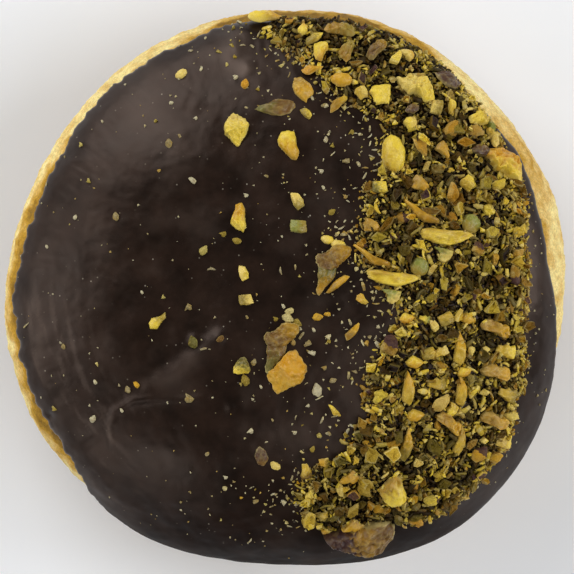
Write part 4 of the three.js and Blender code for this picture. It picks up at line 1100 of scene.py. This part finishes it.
strewn = {
    # limits of the strewn patch: y, x
    "left": [
        (45, -6), (40, -2), (36, 3), (32, 7), (28.4, 14), (23.3, 16), (18.4, 14.2), (14.1, 11.9),
        (8.5, 11.2), (3.6, 12), (0.3, 14.6), (-3.1, 17), (-7.8, 17.2), (-11.2, 13.6), (-14.5, 12.9),
        (-21, 11.9), (-24, 11), (-28, 8.5), (-29.5, 4), (-34, 1), (-39, 2.5), (-45, 10)],
    "right": [
        (45, 44), (38, 30), (31.8, 32), (29.2, 33), (25.2, 35.8), (22.6, 37.4), (19.9, 38.2), (17.2, 39.2),
        (14.5, 39.8), (11.9, 40.4), (1.2, 40.4), (-12, 39.8), (-20, 38.6), (-27.4, 36.2), (-32.4, 32.4),
        (-35.8, 29), (-37.8, 26.5), (-39.3, 21), (-40.4, 8), (-41, 0), (-46, -10)],
    "wander": (1.6, 0.7),  # millimetres that the left and the right limit wander
    "thinnest": (5, 38, 14),  # x, y and reach of the place where the patch thins out
    "thinning": {"nibs": 0.95, "chips": 0.8, "crumbs": 0.2, "pile": 0.7},  # shares that are missing there
    # millimetres, where a share is 0 at the first and 1 at the second
    "height": (24, 31),
    "inside": (-0.6, 0.8),
    "deep": (0.2, 3),
    "filled": (-0.5, 3),  # from the left limit
    "strip": (-0.9, 0.1),  # from the right limit
    "fromPieces": {"nibs": (0.8, 1.5), "chips": (0.4, 1.0), "crumbs": (-0.6, 0.1), "specks": (-0.2, 0.3)},
    "fromEdge": {"nibs": (1.2, 2.4), "chips": (2, 3), "crumbs": (0.6, 1.4), "pile": (1, 4.5)},
    # millimetres outside the patch over which crumbs and dust thin out
    "crumbFade": 6.0,
    "dustFade": 14.0,
    "dustFadeRight": 4.0,
    "leastStray": 0.003,  # crumbs lie in a few places all over the coat
    "leastShade": 0.4,
}


def strewnDepth(points, values):
    # how far inside the patch's left and right limits each point is, in millimetres, and negative outside
    x, y = points[:, 0], points[:, 1]
    ragged = fractalAt(points, 5, 3, 11.0)
    limits = []
    for line in (values["left"], values["right"]):
        rows = sorted(line)
        limits.append(np.interp(y, [r[0] for r in rows], [r[1] for r in rows]))
    leftWander, rightWander = values["wander"]
    return x - limits[0] + leftWander * ragged, limits[1] - x + rightWander * ragged


def clearance(points):
    # distance in millimetres from each point to the outline of the nearest piece placed one by one
    nearest = np.full(len(points), 99.0)
    turns = np.linspace(-math.pi, math.pi, 73)
    for name, x, y, scale, _, spin, *_ in singles + sum(largePieces.values(), []):
        dx, dy = points[:, 0] - x, points[:, 1] - y
        turn = (np.arctan2(dy, dx) - math.radians(spin) + math.pi) % math.tau - math.pi
        reach = np.interp(turn, turns, scale * reachOf(outlines[name], turns))
        nearest = np.minimum(nearest, np.hypot(dx, dy) - reach)
    return nearest


def markGround(values):
    fromLeft, fromRight = strewnDepth(groundPoints, values)
    depth = np.minimum(fromLeft, fromRight)
    patchy = fractalAt(groundPoints, 6, 2, 12.0)
    steep = smoothstep(*values["height"], groundPoints[:, 2])
    inside = smoothstep(*values["inside"], depth) * steep
    gap = clearance(groundPoints)
    free = {kind: smoothstep(*limits, gap) for kind, limits in values["fromPieces"].items()}
    fits = {kind: smoothstep(*limits, groundFromEdge) for kind, limits in values["fromEdge"].items()}
    thinning = values["thinning"]
    x, y, reach = values["thinnest"]
    thin = np.exp(-((groundPoints[:, 0] - x) ** 2 + (groundPoints[:, 1] - y) ** 2) / reach ** 2)
    strip = smoothstep(*values["strip"], fromRight)
    outLeft, outRight = np.minimum(fromLeft, 0), np.minimum(fromRight, 0)
    near = np.exp(outLeft / values["crumbFade"]) * steep * strip
    far = np.exp(outLeft / values["dustFade"] + outRight / values["dustFadeRight"])
    stray = near ** 1.6 * np.clip(0.55 + 1.1 * patchy, 0.15, 0.9) - 0.6 * inside
    nibShare = np.clip(0.85 + 0.5 * patchy - thinning["nibs"] * thin, 0, 1)
    chipShare = inside * (1 - thinning["chips"] * thin)
    filled = 0.2 + 0.8 * smoothstep(*values["filled"], fromLeft)
    crumbShare = inside * filled * (1 - thinning["crumbs"] * thin)
    deep = smoothstep(*values["deep"], depth)
    leastShade = values["leastShade"]
    marks = {
        "nibPlaces": inside * fits["nibs"] * free["nibs"] * nibShare,
        "chipPlaces": chipShare * free["chips"] * fits["chips"],
        "crumbPlaces": crumbShare * free["crumbs"] * fits["crumbs"],
        "strayPlaces": np.clip(stray, values["leastStray"], 1) * free["specks"] * fits["crumbs"] * strip,
        "dustPlaces": np.maximum(0.1 * inside, 0.3 * far ** 2 * steep + 0.035 * steep) * free["specks"],
        "skinPlaces": inside * free["nibs"] * fits["nibs"],
        "shade": (leastShade + (1 - leastShade) * deep) * steep,
        "pile": deep * (1 - thinning["pile"] * thin) * steep * fits["pile"],
    }
    for name, shares in marks.items():
        setAttribute(ground, name, shares)


markGround(strewn)
print("ground marked")


# Small broken nuts: low shapes one unit long that the scatter picks from

def markedMesh(name, points, faces, rims, skins, isSmooth):
    mesh = bpy.data.meshes.new(name)
    mesh.from_pydata([[mm * c for c in p] for p in points], [], faces)
    mesh.polygons.foreach_set("use_smooth", [isSmooth] * len(faces))
    for key, shares in (("rim", rims), ("skin", skins)):
        layer = mesh.attributes.new(key, "FLOAT", "FACE")
        layer.data.foreach_set("value", [float(v) for v in shares])
    return bpy.data.objects.new(name, mesh)


def chipShape(name, draw, values):
    # a broken slab: an angular outline, a slightly uneven top and a pale bevelled rim, partly a painted
    # highlight
    sides = draw.choice(values["sides"])
    start = draw.uniform(0, math.tau)
    thick = draw.uniform(*values["thickness"])
    wander = values["wander"]
    turns = [start + (i + draw.uniform(-wander, wander)) * math.tau / sides for i in range(sides)]
    reaches = [draw.uniform(*values["reach"]) for _ in range(sides)]
    narrow = draw.uniform(*values["narrow"])
    corners = [(r * math.cos(t), narrow * r * math.sin(t)) for r, t in zip(reaches, turns)]
    outline = []
    for (ax, ay), (bx, by) in zip(corners, corners[1:] + corners[:1]):
        share = draw.uniform(0.3, 0.7)
        notch = draw.uniform(*values["notch"])
        outline += [(ax, ay), (notch * (ax + (bx - ax) * share), notch * (ay + (by - ay) * share))]
    sides = len(outline)
    lean = (draw.uniform(-values["lean"], values["lean"]), draw.uniform(-values["lean"], values["lean"]))
    points = [(0, 0, thick * draw.uniform(0.7, 1.4))]
    # each ring of the slab from its middle outwards and then below: reach, and least and most height
    for share, least, most in ((0.48, 0.6, 1.5), (0.86, 0.7, 1.2), (1.0, 0.5, 0.85), (0.86, -0.4, -0.3)):
        for x, y in outline:
            z = thick * draw.uniform(least, most) + (lean[0] * x + lean[1] * y) * (least > 0.5)
            points.append((x * share, y * share, z))
    skinShare = 1.0 if draw.random() < values["skinned"] else 0.0
    faces = [(0, 1 + i, 1 + (i + 1) % sides) for i in range(sides)]
    rims = [0.0] * sides
    skins = [skinShare] * sides
    # the bevel is the palest, partly a painted highlight on the edge
    for ring, rim in enumerate((0.0, 1.0, 0.4)):
        for i in range(sides):
            j = (i + 1) % sides
            upper, lower = 1 + ring * sides, 1 + (ring + 1) * sides
            faces.append((upper + i, lower + i, lower + j, upper + j))
            rims.append(rim * (1 - 0.7 * skinShare))
            skins.append(skinShare * (ring == 0))
    faces.append(tuple(1 + 3 * sides + i for i in reversed(range(sides))))
    rims.append(0.0)
    skins.append(0.0)
    return markedMesh(name, points, faces, rims, skins, False)


def nibShape(name, draw, values):
    # a thick ragged bit of kernel, carved over an angular outline
    sides = draw.choice(values["sides"])
    start = draw.uniform(0, math.tau)
    narrow = draw.uniform(*values["narrow"])
    wander = values["wander"]
    outline = []
    for i in range(sides):
        turn = start + (i + draw.uniform(-wander, wander)) * math.tau / sides
        reach = draw.uniform(*values["reach"])
        outline.append((reach * math.cos(turn), narrow * reach * math.sin(turn)))
    height = draw.uniform(*values["thickness"])
    points, faces, rim, _ = carve(
        outline, height, 4, draw.uniform(*values["dome"]), values["crag"], 0.5, draw.uniform(0, 90))
    rims = [rim[list(f)].mean() for f in faces]
    skinned = draw.random() < values["skinned"]
    skins = [1.0 if skinned and points[list(f)].mean(axis=0)[0] > 0.05 else 0.0 for f in faces]
    return markedMesh(name, points.tolist(), faces, rims, skins, draw.random() < 0.5)


def shredShape(name, draw, values):
    # a thin curled shaving
    bend = draw.uniform(-values["bend"], values["bend"])
    wide = draw.uniform(*values["width"])
    thick = draw.uniform(*values["thickness"])
    stations = 4
    points, faces = [], []
    for i in range(stations):
        t = i / (stations - 1) - 0.5
        y = 0.28 * bend * (0.25 - t * t) + draw.uniform(-0.04, 0.04)
        z = 0.25 * draw.uniform(0.3, 1) * (0.25 - t * t) + 0.05
        half = 0.5 * wide * (1 - 1.6 * abs(t) ** 2) * draw.uniform(0.75, 1.2)
        points += [(t, y - half, z), (t, y + half, z + 0.04)]
        points += [(t, y + half * 0.7, z - thick), (t, y - half, z - thick)]
    for i in range(stations - 1):
        for k in range(4):
            a, b = 4 * i + k, 4 * i + (k + 1) % 4
            faces.append((a, b, b + 4, a + 4))
    faces.append((3, 2, 1, 0))
    last = 4 * (stations - 1)
    faces.append((last, last + 1, last + 2, last + 3))
    rims = [draw.choice([0, 0, 1]) for _ in faces]
    piece = markedMesh(name, points, faces, rims, [0] * len(faces), True)
    straighten(piece.data)
    return piece


def crumbShape(name, draw, values):
    # a ragged bent flake whose corners stick out unevenly
    sides = draw.choice(values["sides"])
    narrow = draw.uniform(*values["narrow"])
    thick = draw.uniform(*values["thickness"])
    bend = draw.uniform(-values["bend"], values["bend"])
    wander = values["wander"]
    outline = []
    for i in range(sides):
        turn = (i + draw.uniform(-wander, wander)) * math.tau / sides
        reach = draw.uniform(*values["corner" if i % 2 else "notch"])
        outline.append((reach * math.cos(turn), narrow * reach * math.sin(turn)))
    points = [(0, 0, thick * draw.uniform(0.8, 1.5))]
    for share, level in ((0.85, 0.9), (1.0, -0.2)):
        for x, y in outline:
            points.append((x * share, y * share, thick * level * draw.uniform(0.6, 1.3) + bend * x * x))
    faces = []
    for i in range(sides):
        j = (i + 1) % sides
        faces.append((0, 1 + i, 1 + j))
        faces.append((1 + i, 1 + sides + i, 1 + sides + j, 1 + j))
    faces.append(tuple(1 + sides + i for i in reversed(range(sides))))
    rims = [draw.choice([0, 0, 0, 1]) for _ in faces]
    piece = markedMesh(name, points, faces, rims, [0] * len(faces), False)
    straighten(piece.data)
    return piece


def straighten(mesh):
    made = bmesh.new()
    made.from_mesh(mesh)
    bmesh.ops.recalc_face_normals(made, faces=made.faces[:])
    made.to_mesh(mesh)
    made.free()


def makeShapes(name, maker, count, seed, values):
    draw = random.Random(seed)
    chosen = bpy.data.collections.new(name + "Shapes")
    for i in range(count):
        chosen.objects.link(maker(f"{name}{i}", draw, values))
    return chosen


scattering = {
    "smallness": 1.4,  # the higher, the fewer large pieces
    "leastStretch": (0.85, 0.75, 0.8),
    "mostStretch": (1.15, 1.1, 1.25),
    "lastPick": 59,  # past the end of any set of shapes, where the count starts again
    "depth": 0.84,  # how dark the painted shade makes the lowest pieces
    "depthFade": 1.6,
    "patchSize": 2.4,  # millimetres, of patches of painted shade and of patches in one colour
    "patchShades": (-0.15, 0.85),
    "seeds": {"size": 3, "stretch": 5, "pick": 7, "tint": 11, "rise": 13},
}


def buildScatter(values):
    # scatters pieces over the ground, leans and sizes each by chance, raises some and paints shade on the
    # lower ones
    tree = bpy.data.node_groups.new("scatterNuts", "GeometryNodeTree")
    add = functools.partial(addNode, tree)
    seeds = values["seeds"]
    patchScale = perSize(values["patchSize"])
    sockets = {"Ground": "Geometry", "Pieces": "Collection", "Where": "String"}
    sizes = ("Spacing", "Smallest", "Largest", "Tilt", "Lift", "Pile")
    sockets.update(dict.fromkeys(sizes + ("Stain", "Clumping", "Palest", "Darkest"), "Float"))
    sockets.update({"Seed": "Int", "Material": "Material"})
    for name, kind in sockets.items():
        tree.interface.new_socket(name, in_out="INPUT", socket_type="NodeSocket" + kind)
    tree.interface.new_socket("Nuts", in_out="OUTPUT", socket_type="NodeSocketGeometry")
    ids = {s.name: s.identifier for s in tree.interface.items_tree if s.in_out == "INPUT"}
    given = add("NodeGroupInput")
    fed = {name: (given, identifier) for name, identifier in ids.items()}
    share = add("GeometryNodeInputNamedAttribute", {"data_type": "FLOAT"}, {"Name": fed["Where"]})
    darts = add("GeometryNodeDistributePointsOnFaces", {"distribute_method": "POISSON"}, {
        "Mesh": fed["Ground"], "Distance Min": fed["Spacing"], "Density Max": 1e9,
        "Density Factor": share, "Seed": fed["Seed"]})
    pieces = add("GeometryNodeCollectionInfo", {}, {
        "Collection": fed["Pieces"], "Separate Children": True, "Reset Children": True})
    leanBack = add("ShaderNodeMath", {"operation": "MULTIPLY"}, {"Value": fed["Tilt"], "Value_001": -1.0})
    lowest = add("ShaderNodeCombineXYZ", {}, {"X": leanBack, "Y": leanBack, "Z": 0.0})
    highest = add("ShaderNodeCombineXYZ", {}, {"X": fed["Tilt"], "Y": fed["Tilt"], "Z": math.tau})
    lean = add("FunctionNodeRandomValue", {"data_type": "FLOAT_VECTOR"}, {
        "Min": lowest, "Max": highest, "Seed": fed["Seed"]})
    leaning = add("FunctionNodeEulerToRotation", {}, {"Euler": (lean, "Value")})
    turned = add("FunctionNodeRotateRotation", {"rotation_space": "LOCAL"}, {
        "Rotation": (darts, "Rotation"), "Rotate By": leaning})
    chance = add("FunctionNodeRandomValue", {"data_type": "FLOAT"}, {"Seed": seeds["size"]})
    mostlySmall = add("ShaderNodeMath", {"operation": "POWER"}, {
        "Value": (chance, "Value_001"), "Value_001": values["smallness"]})
    size = add("ShaderNodeMapRange", {}, {
        "Value": mostlySmall, "To Min": fed["Smallest"], "To Max": fed["Largest"]})
    stretch = add("FunctionNodeRandomValue", {"data_type": "FLOAT_VECTOR"}, {
        "Min": values["leastStretch"], "Max": values["mostStretch"], "Seed": seeds["stretch"]})
    scale = add("ShaderNodeVectorMath", {"operation": "SCALE"}, {
        "Vector": (stretch, "Value"), "Scale": size})
    which = add("FunctionNodeRandomValue", {"data_type": "INT"}, {
        "Min_002": 0, "Max_002": values["lastPick"], "Seed": seeds["pick"]})
    laid = add("GeometryNodeInstanceOnPoints", {}, {
        "Points": (darts, "Points"), "Instance": pieces, "Pick Instance": True,
        "Instance Index": (which, "Value_002"), "Rotation": turned, "Scale": scale})
    piled = add("GeometryNodeInputNamedAttribute", {"data_type": "FLOAT"}, {"Name": "pile"})
    chanceRise = add("FunctionNodeRandomValue", {"data_type": "FLOAT"}, {"Seed": seeds["rise"]})
    climb = add("ShaderNodeMath", {"operation": "MULTIPLY"}, {
        "Value": (chanceRise, "Value_001"), "Value_001": fed["Pile"]})
    heaped = add("ShaderNodeMath", {"operation": "MULTIPLY_ADD"}, {
        "Value": climb, "Value_001": piled, "Value_002": fed["Lift"]})
    # painted shade: the lower pieces, those deeper inside the patch and those in dark patches are darker
    upper = add("ShaderNodeMath", {"operation": "POWER"}, {
        "Value": (chanceRise, "Value_001"), "Value_001": values["depthFade"]})
    depth = add("ShaderNodeMath", {"operation": "SUBTRACT"}, {
        "Value": values["depth"], "Value_001": upper})
    shade = add("GeometryNodeInputNamedAttribute", {"data_type": "FLOAT"}, {"Name": "shade"})
    place = add("GeometryNodeInputPosition")
    darkPatches = add("ShaderNodeTexNoise", {}, {"Vector": place, "Scale": patchScale, "Detail": 2.0})
    lightest, darkest = values["patchShades"]
    patched = add("ShaderNodeMapRange", {}, {
        "Value": darkPatches, "From Min": 0.4, "From Max": 0.6, "To Min": lightest, "To Max": darkest})
    deeper = add("ShaderNodeMath", {"operation": "ADD", "use_clamp": True}, {
        "Value": depth, "Value_001": patched})
    sunken = add("ShaderNodeMath", {"operation": "MULTIPLY"}, {"Value": deeper, "Value_001": shade})
    shadeAmount = add("ShaderNodeMath", {"operation": "MULTIPLY"}, {
        "Value": sunken, "Value_001": fed["Stain"]})
    rise = add("ShaderNodeCombineXYZ", {}, {"Z": heaped})
    raised = add("GeometryNodeTranslateInstances", {}, {
        "Instances": laid, "Translation": rise, "Local Space": True})
    ownTint = add("FunctionNodeRandomValue", {"data_type": "FLOAT"}, {"Seed": seeds["tint"]})
    clumps = add("ShaderNodeTexNoise", {}, {"Vector": place, "Scale": patchScale, "Detail": 1.0})
    sharedTint = add("ShaderNodeMapRange", {}, {"Value": clumps, "From Min": 0.3, "From Max": 0.7})
    mixedTint = add("ShaderNodeMix", {"data_type": "FLOAT"}, {
        "Factor_Float": fed["Clumping"], "A_Float": (ownTint, "Value_001"), "B_Float": sharedTint})
    tint = add("ShaderNodeMapRange", {}, {
        "Value": mixedTint, "To Min": fed["Palest"], "To Max": fed["Darkest"]})
    tinted = add("GeometryNodeStoreNamedAttribute", {"data_type": "FLOAT", "domain": "INSTANCE"}, {
        "Geometry": raised, "Name": "tint", "Value": tint})
    marked = add("GeometryNodeStoreNamedAttribute", {"data_type": "FLOAT", "domain": "INSTANCE"}, {
        "Geometry": tinted, "Name": "stain", "Value": shadeAmount})
    real = add("GeometryNodeRealizeInstances", {}, {"Geometry": marked})
    dressed = add("GeometryNodeSetMaterial", {}, {"Geometry": real, "Material": fed["Material"]})
    add("NodeGroupOutput", {}, {"Nuts": dressed})
    return tree, ids


scatterTree, scatterInputs = buildScatter(scattering)


def scatter(name, values):
    carrier = bpy.data.objects.new(name + "_carrier", ground.data)
    bpy.context.scene.collection.objects.link(carrier)
    modifier = carrier.modifiers.new("scatter", "NODES")
    modifier.node_group = scatterTree
    for key, value in values.items():
        modifier[scatterInputs[key]] = value
    bpy.context.view_layer.update()
    evaluated = carrier.evaluated_get(bpy.context.evaluated_depsgraph_get())
    mesh = bpy.data.meshes.new_from_object(evaluated)
    mesh.name = name
    carrier.modifiers.clear()
    bpy.data.objects.remove(carrier)
    piece = bpy.data.objects.new(name, mesh)
    bpy.context.scene.collection.objects.link(piece)
    dressNut(piece, "chocolate_coat")
    mesh.calc_loop_triangles()
    print(name, "made:", len(mesh.loop_triangles), "triangles")


def dressNut(piece, *nodes):
    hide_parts(*nodes)
    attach(piece, "root")


# shares of the piece's length, except sides, crag and skinned, which is the share of pieces with skin
nibValues = {
    "sides": [6, 7, 8, 9, 10],
    "wander": 0.3,
    "reach": (0.28, 0.6),
    "narrow": (0.55, 0.9),
    "thickness": (0.2, 0.36),
    "dome": (0.1, 0.6),
    "crag": 0.17,
    "skinned": 0.12,
}
chipValues = {
    "sides": [4, 4, 5, 5, 6, 7],
    "wander": 0.36,
    "reach": (0.3, 0.6),
    "narrow": (0.5, 0.95),
    "notch": (0.88, 1.1),
    "lean": 0.35,
    "thickness": (0.14, 0.28),
    "skinned": 0.06,
}
skinValues = dict(chipValues, thickness=(0.06, 0.1), skinned=1.0)
shredValues = {"bend": 1.6, "width": (0.22, 0.5), "thickness": (0.1, 0.18)}
crumbValues = {
    "sides": [5, 6, 7],
    "wander": 0.35,
    "corner": (0.4, 0.6),
    "notch": (0.2, 0.42),
    "narrow": (0.5, 0.9),
    "bend": 0.9,
    "thickness": (0.16, 0.32),
}
nibShapes = makeShapes("nib", nibShape, 18, 41, nibValues)
chipShapes = makeShapes("chip", chipShape, 24, 42, chipValues)
skinShapes = makeShapes("skin", chipShape, 5, 43, skinValues)
shredShapes = makeShapes("shred", shredShape, 12, 44, shredValues)
crumbShapes = makeShapes("crumb", crumbShape, 16, 45, crumbValues)

# smallest and largest are millimetres, spacing, lift and pile metres, tilt radians
# palest and darkest are places on the scale of nutTints
scatters = {
    "pistachio_nibs": {
        "Pieces": nibShapes, "Where": "nibPlaces", "Spacing": 4.0 * mm,
        "Smallest": 1.6, "Largest": 4.0, "Tilt": 0.35, "Lift": 0.2 * mm, "Pile": 0.25 * mm,
        "Stain": 0.3, "Palest": 0.28, "Darkest": 0.88, "Clumping": 0.0, "Seed": 3,
        "Material": pistachio},
    "pistachio_chips": {
        "Pieces": chipShapes, "Where": "chipPlaces", "Spacing": 2.0 * mm,
        "Smallest": 1.3, "Largest": 3.4, "Tilt": 0.5, "Lift": 0.2 * mm, "Pile": 0.4 * mm,
        "Stain": 0.85, "Palest": 0.14, "Darkest": 0.9, "Clumping": 0.0, "Seed": 4,
        "Material": pistachio},
    "pistachio_skins": {
        "Pieces": skinShapes, "Where": "skinPlaces", "Spacing": 8.0 * mm,
        "Smallest": 1.4, "Largest": 2.6, "Tilt": 0.5, "Lift": 0.25 * mm, "Pile": 0.3 * mm,
        "Stain": 0.0, "Palest": 0.92, "Darkest": 1.0, "Clumping": 0.0, "Seed": 8,
        "Material": pistachio},
    "pistachio_shreds": {
        "Pieces": shredShapes, "Where": "crumbPlaces", "Spacing": 0.9 * mm,
        "Smallest": 0.8, "Largest": 2.0, "Tilt": 0.6, "Lift": 0.15 * mm, "Pile": 0.75 * mm,
        "Stain": 0.95, "Palest": 0.2, "Darkest": 0.85, "Clumping": 0.6, "Seed": 7,
        "Material": pistachio},
    "pistachio_grounds": {
        "Pieces": crumbShapes, "Where": "crumbPlaces", "Spacing": 0.62 * mm,
        "Smallest": 0.6, "Largest": 1.3, "Tilt": 0.8, "Lift": 0.05 * mm, "Pile": 0.5 * mm,
        "Stain": 1.0, "Palest": 0.1, "Darkest": 0.92, "Clumping": 0.3, "Seed": 5,
        "Material": pistachio},
    "pistachio_crumbs": {
        "Pieces": crumbShapes, "Where": "crumbPlaces", "Spacing": 0.6 * mm,
        "Smallest": 0.4, "Largest": 1.35, "Tilt": 0.8, "Lift": 0.25 * mm, "Pile": 1.0 * mm,
        "Stain": 0.9, "Palest": 0.24, "Darkest": 0.86, "Clumping": 0.75, "Seed": 9,
        "Material": pistachio},
    "pistachio_strays": {
        "Pieces": crumbShapes, "Where": "strayPlaces", "Spacing": 1.1 * mm,
        "Smallest": 0.45, "Largest": 1.4, "Tilt": 0.4, "Lift": 0.05 * mm, "Pile": 0.0,
        "Stain": 0.0, "Palest": 0.14, "Darkest": 0.7, "Clumping": 0.0, "Seed": 10,
        "Material": pistachioCrumb},
    "pistachio_curls": {
        "Pieces": shredShapes, "Where": "strayPlaces", "Spacing": 1.2 * mm,
        "Smallest": 0.5, "Largest": 1.5, "Tilt": 0.3, "Lift": 0.06 * mm, "Pile": 0.0,
        "Stain": 0.0, "Palest": 0.5, "Darkest": 0.66, "Clumping": 0.0, "Seed": 12,
        "Material": pistachioCrumb},
    "pistachio_dust": {
        "Pieces": crumbShapes, "Where": "dustPlaces", "Spacing": 0.9 * mm,
        "Smallest": 0.2, "Largest": 0.75, "Tilt": 0.6, "Lift": 0.04 * mm, "Pile": 0.0,
        "Stain": 0.0, "Palest": 0.52, "Darkest": 0.66, "Clumping": 0.0, "Seed": 6,
        "Material": pistachioCrumb},
}
for name, values in scatters.items():
    scatter(name, values)


def carvePiece(draw, row, rings):
    shape, x, y, scale, height, spin, lean, sink, tint, farTint, way, dome, crag, skinTo = row
    outline = [(scale * a, scale * b) for a, b in outlines[shape]]
    wide = max(math.hypot(a, b) for a, b in outline)
    cragSize = min(1.5, 0.4 * wide)
    points, faces, rim, fine = carve(outline, height, rings, dome, crag, cragSize, draw.uniform(0, 80))
    turn = math.radians(way)
    along = (points[:, 0] * math.cos(turn) + points[:, 1] * math.sin(turn)) / wide
    marks = {
        "tint": np.full(len(points), nutTints[tint]),
        "farTint": np.full(len(points), nutTints[farTint]),
        "blend": smoothstep(-0.35, 0.65, along + 0.4 * fine),
        "rim": rim,
        "skin": 0 * fine,
    }
    if skinTo is not None:
        marks["skin"] = smoothstep(skinTo + 0.14, skinTo - 0.14, along + 0.35 * fine)
    return restOnCoat(points, x, y, spin, sink, lean), faces, marks


def joinCarved(name, rows, rings, seed, node, material):
    draw = random.Random(seed)
    points, faces, marks = [], [], []
    count = 0
    for row in rows:
        own, ownFaces, ownMarks = carvePiece(draw, row, rings)
        points.append(own)
        faces += [tuple(i + count for i in f) for f in ownFaces]
        marks.append(ownMarks)
        count += len(own)
    piece = meshFrom(name, np.concatenate(points), faces, material)
    for key in marks[0]:
        setAttribute(piece, key, np.concatenate([m[key] for m in marks]))
    dressNut(piece, node)
    print(name, "made:", len(faces), "faces")


# among the strewn nuts a middling piece lies on top of them, and elsewhere it sinks a little into the coat
onNuts = -0.75
onChocolate = 0.1
singlePlaces = np.array([(row[1], row[2], 0) for row in singles], float)
amongNuts = np.minimum(*strewnDepth(singlePlaces, strewn)) > 0.5
singleRows = []
for row, isAmong in zip(singles, amongNuts):
    singleRows.append(row[:6] + (0, onNuts if isAmong else onChocolate) + row[6:] + (None,))
joinCarved("pistachio_singles", singleRows, 10, 77, "chocolate_coat", pistachioKernel)
bitRows = []
for shape, x, y, length, spin, tint in smallBits:
    scale = length / (2 * max(math.hypot(a, b) for a, b in outlines[shape]))
    height, crag = 0.4 * length, 0.12 * length
    bitRows.append((shape, x, y, scale, height, spin, 0, 0.05, tint, tint, 0, 0.5, crag, None))
joinCarved("pistachio_bits", bitRows, 5, 78, "chocolate_coat", pistachioCrumb)
for index, (node, rows) in enumerate(largePieces.items()):
    joinCarved("dressed_" + node, rows, 24, 90 + index, node, pistachioKernel)

bpy.data.objects.remove(ground)


# Studio: a pale floor, broad soft lights and a camera straight above

studio = {
    "floorColour": "#f6f8fc",
    "cameraHeight": 800.0,
    "frameWidth": 97.58,  # millimetres across the picture, at the height of the belt
    "floorSize": 6000.0,
    "world": ("#ffffff", 0.1),
    "aimHeight": 30,
    # azimuth counter-clockwise from +X, elevation, distance, width and height, watts
    "lights": {
        "key": (126, 30, 0.9, (0.75, 0.8), 6.0),
        "left": (180, 24, 0.9, (0.5, 0.5), 1.9),
        "lowLeft": (230, 26, 0.9, (0.5, 0.5), 1.3),
        "right": (10, 28, 0.9, (0.5, 0.5), 3.4),
        "fill": (335, 48, 0.9, (0.8, 0.8), 3.3),
    },
}


def makeFloor(values):
    # a pale painted table: matte, so that shadows are all it shows
    material, add, _ = newMaterial("paleTable")
    finishMaterial(add, {"Base Color": linear(values["floorColour"]), "Roughness": 0.8})
    half = values["floorSize"] / 2
    corners = [(-half, -half, 0), (half, -half, 0), (half, half, 0), (-half, half, 0)]
    floor = meshFrom("floor", corners, [(0, 1, 2, 3)], material)


def makeLights(values):
    colour, strength = values["world"]
    world = bpy.data.worlds.new("studioAir")
    world.use_nodes = True
    backdrop = world.node_tree.nodes["Background"]
    backdrop.inputs["Color"].default_value = linear(colour)
    backdrop.inputs["Strength"].default_value = strength
    bpy.context.scene.world = world
    aim = Vector((0, 0, values["aimHeight"] * mm))
    for name, (azimuth, elevation, distance, size, watts) in values["lights"].items():
        lamp = bpy.data.lights.new(name, "AREA")
        lamp.shape = "RECTANGLE"
        lamp.size, lamp.size_y = size
        lamp.energy = watts
        turn, up = math.radians(azimuth), math.radians(elevation)
        away = Vector((math.cos(turn) * math.cos(up), math.sin(turn) * math.cos(up), math.sin(up)))
        holder = bpy.data.objects.new(name, lamp)
        holder.location = aim + away * distance
        holder.rotation_euler = (-away).to_track_quat("-Z", "Y").to_euler()
        bpy.context.scene.collection.objects.link(holder)


def makeCamera(values):
    lens = bpy.data.cameras.new("camera")
    away = values["cameraHeight"] - form["beltHeight"]
    lens.lens = lens.sensor_width * away / values["frameWidth"]
    lens.clip_start = 0.05
    camera = bpy.data.objects.new("camera", lens)
    camera.location = (0, 0, values["cameraHeight"] * mm)
    bpy.context.scene.collection.objects.link(camera)
    bpy.context.scene.camera = camera


makeFloor(studio)
makeLights(studio)
makeCamera(studio)
bpy.context.scene.view_settings.view_transform = "Standard"
print("studio made")
